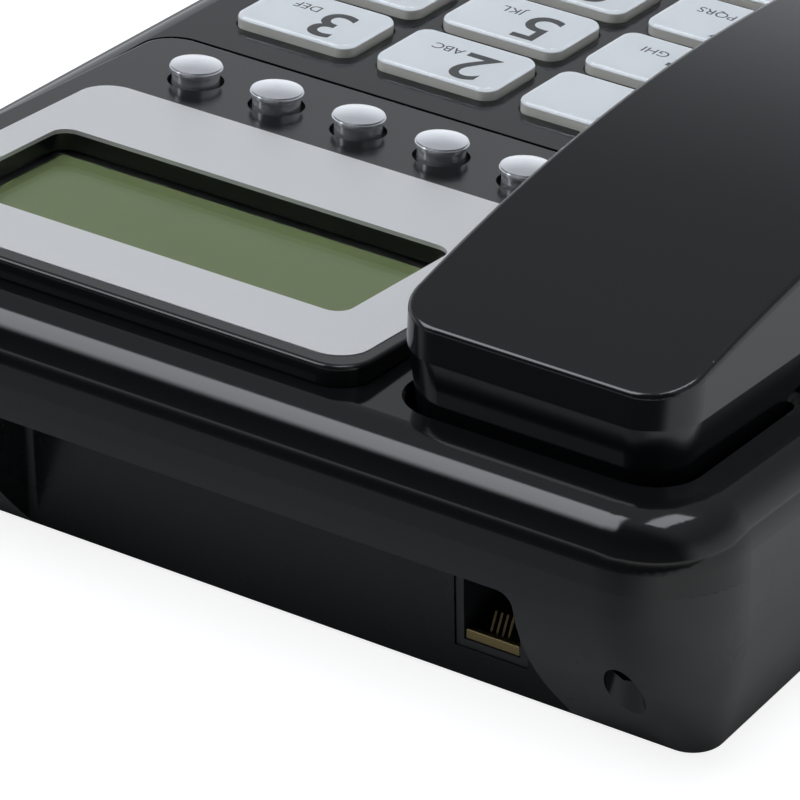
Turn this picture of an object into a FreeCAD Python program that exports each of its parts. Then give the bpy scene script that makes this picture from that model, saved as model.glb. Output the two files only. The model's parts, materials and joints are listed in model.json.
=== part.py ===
"""Corded desk telephone with a display, number keys and a lift-off handset.

The origin is the middle of the rectangle that the base stands on: the feet touch z = 0, +X is the
user's right, +Y points to the rear edge and +Z is up. Three slanted planes carry the shape: the
parting plane between the two halves of the base, the deck that holds the keys and the handset, and
the steeper face of the display module. Sizes are millimetres and degrees.
"""
import FreeCAD, Part
import math
import os

import Sketcher
from FreeCAD import Vector

# Driving sizes, kept in the sheet under these names
SIZES = {
    # Base, seen from above
    "body_width": 168.0,
    "body_depth": 217.0,
    "body_corner": 16.0,
    "reach": 90.0,
    # Slanted planes: height over the table at y = 0, and slope towards the rear
    "parting_height": 28.66,
    "parting_angle": 4.5,
    "deck_height": 39.5,
    "deck_angle": 5.14,
    "module_height": 39.12,
    "module_angle": 7.41,
    # Shells
    "wall": 2.2,
    "edge_roll": 7.7,
    "gap": 0.3,
    # Lower housing: its foot outline and the flare up to the parting plane
    "foot_height": 1.0,
    "base_width": 152.4,
    "base_rear": 91.5,
    "base_front": 100.5,
    "base_corner": 5.0,
    "side_flare": 7.8,
    "rear_flare": 17.0,
    "front_flare": 8.0,
    "flare_share": 0.91,
    "flare_stages": 4,
    # Recess in the rear wall and the sockets
    "recess_x": -4.85,
    "recess_width": 98.26,
    "recess_top": 31.2,
    "recess_corner": 2.5,
    "recess_depth": 68.0,
    "line_jack_x": -39.6,
    "jack_width": 12.5,
    "jack_height": 14.0,
    "jack_depth": 15.0,
    "port_width": 9.8,
    "port_height": 11.2,
    "port_depth": 12.0,
    "cord_port_width": 7.7,
    "cord_port_height": 7.0,
    "cord_jack_y": -58.0,
    "jack_wall": 1.3,
    # Upright bores in the overhang of the rear corners
    "corner_bore_radius": 3.05,
    "corner_bore_x": 69.8,
    "corner_bore_y": 103.1,
    "corner_bore_top": 24.0,
    "corner_sleeve_wall": 1.6,
    "corner_sleeve_top": 17.2,
    # Display module
    "module_x": 27.85,
    "module_y": 53.95,
    "module_width": 96.3,
    "module_length": 89.1,
    "module_corner": 6.0,
    "module_edge": 0.7,
    "module_flange": 2.0,
    "plate_x": 26.75,
    "plate_y": 64.7,
    "plate_width": 89.3,
    "plate_length": 63.0,
    "plate_corner": 5.5,
    "plate_thick": 0.7,
    "plate_proud": 0.1,
    "window_x": 28.5,
    "window_y": 67.8,
    "window_width": 73.0,
    "window_length": 30.6,
    "window_corner": 3.0,
    "window_depth": 3.4,
    "window_rim": 2.2,
    "lens_thick": 0.8,
    "lens_margin": 1.5,
    "lcd_thick": 2.0,
    "holder_margin": 4.5,
    "holder_floor": 1.5,
    "board_thick": 1.6,
    "display_board_x": 28.0,
    "display_board_y": 52.0,
    "display_board_width": 88.0,
    "display_board_length": 76.0,
    # Round buttons on the display module
    "button_x": 60.2,
    "button_pitch": 15.59,
    "button_y": 23.2,
    "button_radius": 4.15,
    "button_neck": 3.85,
    "button_rim": 4.3,
    "button_rise": 3.2,
    "button_shoulder": 1.9,
    "button_rim_thick": 0.5,
    "button_dome": 0.45,
    "button_flange": 5.2,
    "button_stem": 1.5,
    "button_travel": 1.2,
    # Number keys on the deck
    "key_x": 2.95,
    "key_y": -7.0,
    "key_pitch_x": 27.28,
    "key_pitch_y": 19.5,
    "key_width": 22.8,
    "key_length": 15.4,
    "key_corner": 2.7,
    "key_rise": 2.1,
    "key_edge": 0.9,
    "key_lip": 0.9,
    "key_flange": 0.9,
    "key_side": 0.8,
    "insert_top": 1.1,
    "insert_gap": 0.1,
    "stem_radius": 3.0,
    "stem_length": 1.9,
    "key_travel": 1.5,
    # Function keys in front of them
    "function_y": -84.0,
    "function_length": 8.0,
    "function_corner": 2.0,
    # Contact mat and board under the keys
    "mat_thick": 1.0,
    "mat_x": 28.3,
    "mat_width": 80.0,
    "mat_length": 92.0,
    "mat_y": -42.6,
    "dome_radius": 4.5,
    "dome_top": 3.2,
    "key_board_x": 27.6,
    "key_board_width": 83.8,
    "key_board_length": 98.8,
    "board_post_x": 13.64,
    "board_post_front": -76.6,
    "board_post_rear": 4.2,
    "board_post_radius": 2.0,
    # Handset, measured from its own middle over the deck
    "handset_x": -49.3,
    "handset_y": 5.6,
    "handset_half": 92.0,
    "handset_end": 24.2,
    "handset_waist": 24.7,
    "handset_corner": 8.0,
    "handset_arch": 350.0,
    "handset_top": 26.3,
    "handset_edge": 1.0,
    "handset_wall": 2.0,
    "shell_split": 5.43,
    "shell_step": 0.2,
    "cup_start": 8.5,
    "cup_taper": 2.0,
    "cup_drop": 6.5,
    "cup_inner": 58.0,
    "grip_half": 44.0,
    "grip_height": 8.2,
    "well_gap": 1.6,
    "well_corner": 2.0,
    # Parts in the handset
    "receiver_y": 77.2,
    "receiver_radius": 10.0,
    "receiver_thick": 7.0,
    "sound_hole": 0.9,
    "sound_ring": 4.5,
    "mic_y": -72.6,
    "mic_radius": 4.85,
    "mic_thick": 5.0,
    "weight_width": 22.0,
    "weight_length": 64.0,
    "weight_thick": 6.0,
    "handset_post_y": 63.5,
    "handset_post_radius": 3.0,
    "handset_post_split": 3.0,
    "handset_jack_low": -0.8,
    "handset_jack_width": 10.3,
    "handset_jack_height": 9.0,
    "handset_jack_depth": 11.0,
    # Hook switch, measured from the handset's middle
    "hook_x": -5.0,
    "hook_y": 72.0,
    "hook_radius": 3.0,
    "hook_flange": 5.0,
    "hook_flange_thick": 1.0,
    "hook_stem": 8.0,
    "hook_travel": 4.0,
    "hook_switch_width": 12.0,
    "hook_switch_length": 8.0,
    # Boards, battery bay and speaker in the base
    "board_lift": 1.2,
    "main_board_x": 2.0,
    "main_board_y": 58.0,
    "main_board_width": 128.0,
    "main_board_length": 52.0,
    "standoff_radius": 3.0,
    "standoff_x": 55.0,
    "standoff_y": 20.0,
    "cell_radius": 7.1,
    "cell_length": 50.0,
    "cell_gap": 0.4,
    "bay_x": -8.0,
    "bay_y": -3.0,
    "door_thick": 2.0,
    "door_rim": 2.0,
    "speaker_x": 35.0,
    "speaker_y": -62.0,
    "speaker_radius": 25.0,
    "speaker_thick": 9.0,
    "magnet_radius": 12.0,
    "magnet_thick": 5.0,
    "slot_length": 30.0,
    "slot_width": 1.6,
    "slot_pitch": 5.0,
    "slot_corner": 0.7,
    # Screws, posts and feet
    "post_radius": 3.0,
    "post_split": 14.0,
    "screw_radius": 1.4,
    "screw_head": 2.6,
    "screw_head_thick": 1.6,
    "screw_sunk": 2.4,
    "screw_length": 14.0,
    "left_post_x": -70.0,
    "left_post_y": 40.0,
    "right_post_x": 73.5,
    "right_post_front": -80.0,
    "right_post_rear": 3.4,
    "foot_radius": 7.0,
    "foot_thick": 2.0,
    "foot_sink": 1.0,
    "foot_x": 62.0,
    "foot_front": -84.0,
    "foot_rear": 76.0,
    # Ringer switch in the right side
    "ringer_y": 45.0,
    "ringer_z": 20.0,
    "ringer_width": 5.0,
    "ringer_height": 3.0,
    "ringer_out": 84.0,
    "ringer_back": 78.4,
    "ringer_flange": 79.5,
    "ringer_travel": 2.0,
}

doc = FreeCAD.newDocument("telephone")
sheet = doc.addObject("Spreadsheet::Sheet", "Sizes")
for line, (size_name, size_value) in enumerate(SIZES.items(), start=1):
    sheet.set(f"A{line}", size_name)
    sheet.set(f"B{line}", str(size_value))
    sheet.setAlias(f"B{line}", size_name)
doc.recompute()

# Sub-parts by node name, in the order they are made
PARTS = {}

# How far a point may lie off a plane or an arc and still count as on it
CLOSE = 0.01

# The number keys by row, from the display to the user, and by column from the user's left
KEY_ROWS = (("1", "2", "3"), ("4", "5", "6"), ("7", "8", "9"), ("star", "0", "hash"))
BUTTON_COUNT = 5
FUNCTION_COUNT = 3
CELL_COUNT = 3
SOUND_HOLE_COUNT = 6
GRILLE_SLOTS = 7


def formula(text):
    """Writes out a size formula, in which $name stands for the sheet's cell of that name."""
    return text.replace("$", "Sizes.")


def number(text):
    """Works out a size formula as a plain number."""
    return float(sheet.evalExpression(formula(text)))


def spot(x="0", y="0", z="0", axis=(0, 0, 1), turn="0"):
    """Formula of a place at (x, y, z), turned about one axis."""
    direction = "; ".join(str(part) for part in axis)
    return f"placement(vector({x}; {y}; {z}); rotation(vector({direction}); {turn}))"


BASE = spot()
DECK = spot(z="$deck_height", axis=(1, 0, 0), turn="$deck_angle")
MODULE = spot(z="$module_height", axis=(1, 0, 0), turn="$module_angle")


def at(frame, x="0", y="0", z="0", axis=(0, 0, 1), turn="0"):
    """Formula of a place given in another frame."""
    return f"{frame} * {spot(x, y, z, axis, turn)}"


HANDSET = at(DECK, "$handset_x", "$handset_y")

# How far the lower shell lies inside the upper one where it passes the deck
CUP_INSET = "($shell_step + $cup_taper * $cup_start / ($cup_start + $cup_drop))"
WELL_WIDTH = f"(2 * ($handset_end - {CUP_INSET} + $well_gap))"
WELL_LENGTH = f"($handset_half - {CUP_INSET} - $cup_inner + 2 * $well_gap)"
WELL_FLOOR = "(-$cup_drop - $gap)"
WELL_MIDDLE = f"(($handset_half - {CUP_INSET} + $cup_inner) / 2)"

# Heights of the handset's screws and how far its socket lies behind its end
HANDSET_SCREW_SEAT = "(-$cup_drop + $screw_sunk)"
HANDSET_SCREW_TIP = "(-$cup_drop + $screw_sunk + $screw_length)"
SOCKET_INSET = "($shell_step + $cup_taper)"

# Heights under the deck, from the key's flange down to the contact board
FLANGE_TOP = "(-$wall - $gap)"
FLANGE_LOW = "(-$wall - $gap - $key_flange)"
STEM_LOW = "(-$wall - $gap - $key_flange - $stem_length)"
MAT_TOP = "(-$wall - $gap - $key_flange - $stem_length - $key_travel - $gap / 2)"
KEY_BOARD_DROP = "($wall + $gap + $key_flange + $stem_length + $key_travel + $gap / 2 + $mat_thick)"


def new_body(name, where=BASE):
    """Starts a body whose place follows the sheet."""
    body = doc.addObject("PartDesign::Body", name)
    body.setExpression("Placement", formula(where))
    return body


def sketch_on(body, where=BASE, role="XY_Plane"):
    """Adds a sketch to a body, set off from one of the body's own planes."""
    sketch = body.newObject("Sketcher::SketchObject", body.Name + "_sketch")
    origin_plane = next(item for item in body.Origin.OriginFeatures if item.Role == role)
    sketch.AttachmentSupport = (origin_plane, "")
    sketch.MapMode = "FlatFace"
    sketch.setExpression("AttachmentOffset", formula(where))
    return sketch


def bind(sketch, name, kind, items, size):
    """Adds a named dimension to a sketch and ties it to a size formula."""
    index = sketch.addConstraint(Sketcher.Constraint(kind, *items, number(size)))
    sketch.renameConstraint(index, name)
    sketch.setExpression(f"Constraints.{name}", formula(size))


def rounded_rectangle(sketch, width, length, radius):
    """Draws a rounded rectangle about the sketch's own origin."""
    half_x = number(width) / 2
    half_y = number(length) / 2
    bend = number(radius)
    corners = [(half_x, -half_y), (half_x, half_y), (-half_x, half_y), (-half_x, -half_y)]
    sides = []
    arcs = []
    for index, (x, y) in enumerate(corners):
        centre = Vector(math.copysign(abs(x) - bend, x), math.copysign(abs(y) - bend, y), 0)
        circle = Part.Circle(centre, Vector(0, 0, 1), bend)
        start = math.radians(90 * (index - 1))
        arcs.append(sketch.addGeometry(Part.ArcOfCircle(circle, start, start + math.pi / 2), False))
    for index in range(4):
        first = sketch.Geometry[arcs[index]].EndPoint
        second = sketch.Geometry[arcs[(index + 1) % 4]].StartPoint
        sides.append(sketch.addGeometry(Part.LineSegment(first, second), False))
    for index in range(4):
        following = arcs[(index + 1) % 4]
        sketch.addConstraint(Sketcher.Constraint("Tangent", arcs[index], 2, sides[index], 1))
        sketch.addConstraint(Sketcher.Constraint("Tangent", sides[index], 2, following, 1))
    for index in (0, 2):
        sketch.addConstraint(Sketcher.Constraint("Vertical", sides[index]))
        sketch.addConstraint(Sketcher.Constraint("Horizontal", sides[index + 1]))
    for arc in arcs[1:]:
        sketch.addConstraint(Sketcher.Constraint("Equal", arcs[0], arc))
    sketch.addConstraint(Sketcher.Constraint("Symmetric", arcs[0], 3, arcs[2], 3, -1, 1))
    bind(sketch, "radius", "Radius", (arcs[0],), radius)
    bind(sketch, "width", "DistanceX", (sides[2], 1, sides[0], 1), width)
    bind(sketch, "length", "DistanceY", (sides[3], 1, sides[1], 1), length)


def arc_through(start, via, end):
    """Arc through three points, always drawn anticlockwise."""
    circle = Part.Arc(start, via, end).toShape().Curve
    centre = circle.Center
    first, last = start, end
    if (via - start).cross(end - via).z < 0:
        first, last = end, start
    begin = math.atan2(first.y - centre.y, first.x - centre.x)
    finish = math.atan2(last.y - centre.y, last.x - centre.x)
    if finish < begin:
        finish += 2 * math.pi
    return Part.ArcOfCircle(Part.Circle(centre, Vector(0, 0, 1), circle.Radius), begin, finish)


def outline(sketch, corners):
    """Draws a closed outline of lines and arcs.

    Each corner is (x, y, via): formulas of its place, and of a point that the arc to the next
    corner passes through, or None where a straight line follows.
    """
    points = [Vector(number(x), number(y), 0) for x, y, via in corners]
    pieces = []
    ends = []
    for index, (x, y, via) in enumerate(corners):
        start = points[index]
        end = points[(index + 1) % len(points)]
        if via is None:
            piece = Part.LineSegment(start, end)
        else:
            piece = arc_through(start, Vector(number(via[0]), number(via[1]), 0), end)
        pieces.append(sketch.addGeometry(piece, False))
        drawn = sketch.Geometry[pieces[-1]]
        forward = (drawn.StartPoint - start).Length < (drawn.EndPoint - start).Length
        ends.append((1, 2) if forward else (2, 1))
    for index, piece in enumerate(pieces):
        following = (index + 1) % len(pieces)
        joined = (piece, ends[index][1], pieces[following], ends[following][0])
        sketch.addConstraint(Sketcher.Constraint("Coincident", *joined))
    for index, (x, y, via) in enumerate(corners):
        corner = (-1, 1, pieces[index], ends[index][0])
        bind(sketch, f"across_{index}", "DistanceX", corner, x)
        bind(sketch, f"along_{index}", "DistanceY", corner, y)
        if via is not None:
            middle = Vector(number(via[0]), number(via[1]), 0)
            helper = sketch.addGeometry(Part.Point(middle), True)
            bind(sketch, f"via_across_{index}", "DistanceX", (-1, 1, helper, 1), via[0])
            bind(sketch, f"via_along_{index}", "DistanceY", (-1, 1, helper, 1), via[1])
            sketch.addConstraint(Sketcher.Constraint("PointOnObject", helper, 1, pieces[index]))


def feature(body, kind, sketch, **sizes):
    """Adds a pad or pocket of a sketch whose named lengths follow the sheet."""
    made = body.newObject(f"PartDesign::{kind}", f"{body.Name}_{kind.lower()}")
    made.Profile = sketch
    for prop, size in sizes.items():
        made.setExpression(prop, formula(size))
    return made


def remove(body, sketch, length, upwards=False, both_ways=False):
    """Cuts a sketch out of a body and checks that the cut took something away."""
    doc.recompute()
    before = body.Shape.Volume
    pocket = feature(body, "Pocket", sketch, Length=length)
    pocket.Reversed = upwards
    pocket.Midplane = both_ways
    doc.recompute()
    if not body.Shape.Volume < before:
        raise RuntimeError(f"{body.Name}: a cut removes nothing")
    return pocket


def round_edges(body, radius, picked):
    """Rounds the edges of a body that the test picks."""
    doc.recompute()
    tip = body.Tip
    names = [f"Edge{index}" for index, edge in enumerate(tip.Shape.Edges, start=1) if picked(edge)]
    if not names:
        raise RuntimeError(f"{body.Name}: no edge to round")
    rounding = body.newObject("PartDesign::Fillet", body.Name + "_fillet")
    rounding.Base = (tip, names)
    rounding.setExpression("Radius", formula(radius))
    return rounding


def edge_points(edge):
    """Start, middle and end of an edge."""
    first, last = edge.ParameterRange
    return [edge.valueAt(first), edge.valueAt((first + last) / 2), edge.valueAt(last)]


def on_slope(height, angle="0"):
    """Test for edges that lie in a plane that rises towards the rear."""
    level = number(height)
    rise = math.tan(math.radians(number(angle)))
    return lambda edge: all(abs(p.z - level - rise * p.y) < CLOSE for p in edge_points(edge))


def block(name, where, width, length, radius, low, high):
    """Rounded block about a frame's axis, between two heights."""
    body = new_body(name, where)
    sketch = sketch_on(body, spot(z=low))
    rounded_rectangle(sketch, width, length, radius)
    feature(body, "Pad", sketch, Length=f"({high}) - ({low})")
    return body


def box(name, where, width, length, low, high):
    """Sharp block about a frame's axis, between two heights."""
    piece = doc.addObject("Part::Box", name)
    piece.setExpression("Length", formula(width))
    piece.setExpression("Width", formula(length))
    piece.setExpression("Height", formula(f"({high}) - ({low})"))
    corner = at(where, f"-({width}) / 2", f"-({length}) / 2", low)
    piece.setExpression("Placement", formula(corner))
    return piece


def disc(name, where, radius, low, high):
    """Cylinder about a frame's axis, between two heights."""
    piece = doc.addObject("Part::Cylinder", name)
    piece.setExpression("Radius", formula(radius))
    piece.setExpression("Height", formula(f"({high}) - ({low})"))
    piece.setExpression("Placement", formula(at(where, z=low)))
    return piece


def fuse(name, pieces):
    """Joins pieces into one shape."""
    joined = doc.addObject("Part::MultiFuse", name)
    joined.Shapes = pieces
    joined.Refine = True
    return joined


def cut(name, base, tools):
    """Takes tools away from a base shape."""
    made = doc.addObject("Part::Cut", name)
    made.Base = base
    made.Tool = tools[0] if len(tools) == 1 else fuse(name + "_tools", tools)
    made.Refine = True
    return made


def common(name, pieces):
    """Keeps what all pieces share."""
    made = doc.addObject("Part::MultiCommon", name)
    made.Shapes = pieces
    made.Refine = True
    return made


def group(name, pieces):
    """Keeps identical loose pieces together without joining them."""
    held = doc.addObject("Part::Compound", name)
    held.Links = pieces
    return held


def part(node, piece):
    """Registers a finished sub-part under its node name."""
    piece.Label = node
    PARTS[node] = piece
    return piece


def wedge(name, x, y, width, length, radius, low, high, roll=None):
    """Upright rounded prism trimmed by a lower and an upper slanted plane.

    Each plane is (height, angle); roll is the radius along the upper rim.
    """
    body = new_body(name)
    prism = sketch_on(body, spot(x, y))
    rounded_rectangle(prism, width, length, radius)
    feature(body, "Pad", prism, Length="$reach")
    for (height, angle), upwards in ((high, True), (low, False)):
        plane = sketch_on(body, spot(z=height, axis=(1, 0, 0), turn=angle))
        rounded_rectangle(plane, "2 * $body_width", "2 * $body_depth", "$body_corner")
        remove(body, plane, "2 * $reach", upwards=upwards)
    if roll:
        round_edges(body, roll, on_slope(*high))
    return body


# Frames that repeat along rows


def key_spot(column, row, z="0"):
    """Place of a number key on the deck."""
    return at(DECK, f"$key_x + {column} * $key_pitch_x", f"$key_y - {row} * $key_pitch_y", z)


def function_spot(column):
    """Place of a function key on the deck."""
    return at(DECK, f"$key_x + {column} * $key_pitch_x", "$function_y")


def button_spot(index):
    """Place of a round button on the display module."""
    return at(MODULE, f"$button_x - {index} * $button_pitch", "$button_y")


def well_spot(side):
    """Place of the middle of a cradle well; side is 1 at the ear and -1 at the mouth."""
    return at(HANDSET, y=f"{side} * {WELL_MIDDLE}")


def hook_spot():
    """Place of the hook plunger in the ear well."""
    return at(HANDSET, "$hook_x", "$hook_y")


CASE_POSTS = (
    ("$left_post_x", "$left_post_y"),
    ("$left_post_x", "-$left_post_y"),
    ("$right_post_x", "$right_post_front"),
    ("$right_post_x", "$right_post_rear"),
)
BOARD_POSTS = [
    (f"$key_x + {column} * $key_pitch_x + $board_post_x", y)
    for column in (0, 1)
    for y in ("$board_post_front", "$board_post_rear")
]


def top_cover():
    """Upper half of the base: deck with rolled rim, cradle wells and openings."""
    deck = ("$deck_height", "$deck_angle")
    parting = ("$parting_height", "$parting_angle")
    outer = wedge("cover_outer", "0", "0", "$body_width", "$body_depth", "$body_corner",
                  parting, deck, "$edge_roll")
    inner = wedge("cover_inner", "0", "0", "$body_width - 2 * $wall", "$body_depth - 2 * $wall",
                  "$body_corner - $wall", ("$parting_height - $wall", "$parting_angle"),
                  ("$deck_height - $wall", "$deck_angle"), "$edge_roll - $wall")
    shell = cut("cover_shell", outer, [inner])
    added = [shell]
    removed = []
    for name, side in (("ear", 1), ("mouth", -1)):
        inner_half = at(well_spot(side), y=f"-{side} * {WELL_LENGTH} / 4")
        for role, where, length, bend in (
            ("rounded", well_spot(side), WELL_LENGTH, "$handset_corner"),
            ("inner", inner_half, f"{WELL_LENGTH} / 2", "$well_corner"),
        ):
            added.append(block(f"{name}_wall_{role}", where, f"{WELL_WIDTH} + 2 * $wall",
                               f"{length} + 2 * $wall", f"{bend} + $wall",
                               f"{WELL_FLOOR} - $wall", "-$wall / 2"))
            removed.append(block(f"{name}_well_{role}", where, WELL_WIDTH, length, bend, WELL_FLOOR, "$wall"))
    removed.append(disc("hook_hole", hook_spot(), "$hook_radius + $gap", f"{WELL_FLOOR} - 2 * $wall", "0"))
    for index, (x, y) in enumerate(CASE_POSTS):
        post = disc(f"cover_post_{index}", spot(x, y), "$post_radius", "$post_split", "$reach")
        added.append(trimmed_post(f"cover_post_trim_{index}", post))
        removed.append(disc(f"cover_pilot_{index}", spot(x, y), "$screw_radius", "$foot_height",
                            "$screw_sunk + $screw_length + $foot_height + $gap"))
    for index, (x, y) in enumerate(BOARD_POSTS):
        added.append(disc(f"board_post_{index}", at(DECK, x, y), "$board_post_radius",
                          f"-{KEY_BOARD_DROP}", "-$wall / 2"))
    removed.append(wedge("module_opening", "$module_x", "$module_y", "$module_width + 2 * $gap",
                         "$module_length + 2 * $gap", "$module_corner + $gap",
                         ("$deck_height - 2 * $wall", "$deck_angle"),
                         ("$deck_height + $wall", "$deck_angle")))
    for row in range(len(KEY_ROWS)):
        for column in range(len(KEY_ROWS[row])):
            removed.append(block(f"key_hole_{column}_{row}", key_spot(column, row),
                                 "$key_width + 2 * $gap", "$key_length + 2 * $gap",
                                 "$key_corner + $gap", "-2 * $wall", "$wall"))
    for column in range(FUNCTION_COUNT):
        removed.append(block(f"function_hole_{column}", function_spot(column),
                             "$key_width + 2 * $gap", "$function_length + 2 * $gap",
                             "$function_corner + $gap", "-2 * $wall", "$wall"))
    part("top_cover", cut("top_cover", fuse("cover_solid", added), removed))


def trimmed_post(name, post):
    """Cuts a post off inside the deck's thickness."""
    above = box(f"{name}_above", DECK, "2 * $body_width", "2 * $body_depth", "-$wall / 2", "$reach")
    return cut(name, post, [above])


def flare(share):
    """How much of the lower housing's flare is reached at a share of its height, as a formula."""
    return f"sin(90 * min(1; {share} / $flare_share))"


def housing_section(body, share, inset, lift):
    """Rounded outline of the lower housing in a plane that leans in step with its height."""
    spread = flare(share)
    rear = f"($base_rear + $rear_flare * {spread} - {inset})"
    front = f"($base_front + $front_flare * {spread} - {inset})"
    middle = f"(({rear} - {front}) / 2)"
    level = (f"$foot_height + {lift} + {share} * ($parting_height - $foot_height - {lift}"
             f" + tan($parting_angle) * {middle})")
    sketch = sketch_on(body, spot("0", middle, level, (1, 0, 0), f"{share} * $parting_angle"))
    width = f"$base_width + 2 * $side_flare * {spread} - 2 * {inset}"
    length = f"({rear} + {front}) / cos({share} * $parting_angle)"
    radius = f"$base_corner + ($body_corner - $base_corner) * {spread} - {inset}"
    rounded_rectangle(sketch, width, length, radius)
    return sketch


def housing(name, inset="0", lift="0"):
    """Bowl of the lower housing: flared up to a short upright band under the parting plane."""
    body = new_body(name)
    stages = round(number("$flare_stages"))
    shares = [f"{stage} / $flare_stages * $flare_share" for stage in range(stages + 1)]
    sections = [housing_section(body, share, inset, lift) for share in shares]
    bowl = body.newObject("PartDesign::AdditiveLoft", name + "_bowl")
    bowl.Profile = sections[0]
    bowl.Sections = sections[1:]
    band = body.newObject("PartDesign::AdditiveLoft", name + "_band")
    band.Profile = housing_section(body, "$flare_share", inset, lift)
    band.Sections = [housing_section(body, "1", inset, lift)]
    band.Ruled = True
    body.Tip = band
    return body


def recess(name, grow):
    """Block that stands for the recess in the rear wall, grown by a wall."""
    body = new_body(name)
    sketch = sketch_on(body, spot("$recess_x", f"$base_rear - {grow} + $recess_depth / 2", "-$wall"))
    rounded_rectangle(sketch, f"$recess_width + 2 * {grow}", "$recess_depth", "$recess_corner / 2")
    feature(body, "Pad", sketch, Length=f"$recess_top + {grow} + $wall")
    top = number(f"$recess_top + {grow}")
    half = number(f"$recess_width / 2 + {grow}")
    centre = number("$recess_x")

    def upper_side(edge):
        points = edge_points(edge)
        at_top = all(abs(point.z - top) < CLOSE for point in points)
        return at_top and all(abs(abs(point.x - centre) - half) < CLOSE for point in points)

    round_edges(body, "$recess_corner", upper_side)
    return body


BAY_WIDTH = "($cell_length + 2 * $cell_gap)"
BAY_LENGTH = f"({CELL_COUNT} * 2 * ($cell_radius + $cell_gap))"
BAY_TOP = "($foot_height + $door_thick + 2 * $cell_radius + $cell_gap)"
BOARD_LOW = "($foot_height + $wall + $board_lift)"
BOARD_HIGH = "($foot_height + $wall + $board_lift + $board_thick)"
CORD_JACK_WIDTH = "($cord_port_width + 2 * $jack_wall)"
CORD_JACK_HEIGHT = "($cord_port_height + 2 * $jack_wall)"
FOOT_SPOTS = [(f"{side} * $foot_x", y) for side in (1, -1) for y in ("$foot_front", "$foot_rear")]


def bottom_cover():
    """Lower half of the base: bowl with the rear recess, posts, battery bay and socket holes."""
    outer = cut("base_outer", housing("bowl_outer"), [recess("recess_space", "0")])
    inner = cut("base_inner", housing("bowl_inner", "$wall", "$wall"), [recess("recess_wall", "$wall")])
    added = [cut("base_shell", outer, [inner])]
    removed = []
    floor = "$foot_height + $wall / 2"
    bay = spot("$bay_x", "$bay_y")
    added.append(box("bay_wall", bay, f"{BAY_WIDTH} + 2 * $wall", f"{BAY_LENGTH} + 2 * $wall",
                     floor, f"{BAY_TOP} + $wall"))
    removed.append(box("bay_space", bay, BAY_WIDTH, BAY_LENGTH, "0", BAY_TOP))
    removed.append(box("door_seat", bay, f"{BAY_WIDTH} + 2 * $door_rim", f"{BAY_LENGTH} + 2 * $door_rim",
                       "0", "$foot_height + $door_thick / 2"))
    for index, (x, y) in enumerate(CASE_POSTS):
        added.append(disc(f"base_post_{index}", spot(x, y), "$post_radius", floor, "$post_split"))
        removed.append(disc(f"base_bore_{index}", spot(x, y), "$screw_radius + $gap / 2", "0", "$post_split"))
        removed.append(disc(f"head_bore_{index}", spot(x, y), "$screw_head - $gap", "0",
                            "$foot_height + $screw_sunk"))
    for index, (side, way) in enumerate(((1, 1), (1, -1), (-1, 1), (-1, -1))):
        spot_text = spot(f"$main_board_x + {side} * $standoff_x", f"$main_board_y + {way} * $standoff_y")
        added.append(disc(f"standoff_{index}", spot_text, "$standoff_radius", floor, BOARD_LOW))
    line_port = spot("$line_jack_x", "$base_rear")
    removed.append(box("line_jack_hole", line_port, "$jack_width + $gap", "4 * $wall",
                       BOARD_HIGH, f"{BOARD_HIGH} + $jack_height + $gap / 2"))
    removed.append(box("cord_jack_hole", spot("-$body_width / 2", "$cord_jack_y"), "$jack_depth + 2 * $wall",
                       f"{CORD_JACK_WIDTH} + $gap", BOARD_HIGH,
                       f"{BOARD_HIGH} + {CORD_JACK_HEIGHT} + $gap / 2"))
    for name, side in (("left", -1), ("right", 1)):
        where = spot(f"{side} * $corner_bore_x", "$corner_bore_y")
        sleeve = disc(f"{name}_sleeve", where, "$corner_bore_radius + $corner_sleeve_wall",
                      "$foot_height", "$corner_sleeve_top")
        added.append(common(f"{name}_sleeve_inside", [sleeve, outer]))
        removed.append(disc(f"{name}_corner_bore", where, "$corner_bore_radius", "0", "$corner_bore_top"))
    removed.append(box("ringer_slot", spot("$ringer_out", "$ringer_y"), "4 * $wall",
                       "$ringer_width + 2 * $ringer_travel + 2 * $gap",
                       "$ringer_z - $ringer_height / 2 - $gap", "$ringer_z + $ringer_height / 2 + $gap"))
    for index in range(GRILLE_SLOTS):
        offset = f"({index} - ({GRILLE_SLOTS} - 1) / 2) * $slot_pitch"
        slot = spot("$speaker_x", f"$speaker_y + {offset}")
        removed.append(block(f"speaker_slot_{index}", slot, "$slot_length", "$slot_width",
                             "$slot_corner", "0", "$foot_height + 2 * $wall"))
    for index, (x, y) in enumerate(FOOT_SPOTS):
        removed.append(disc(f"foot_seat_{index}", spot(x, y), "$foot_radius + $gap / 2", "0",
                            "$foot_height + $foot_sink"))
    part("bottom_cover", cut("bottom_cover", fuse("base_solid", added), removed))


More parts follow.
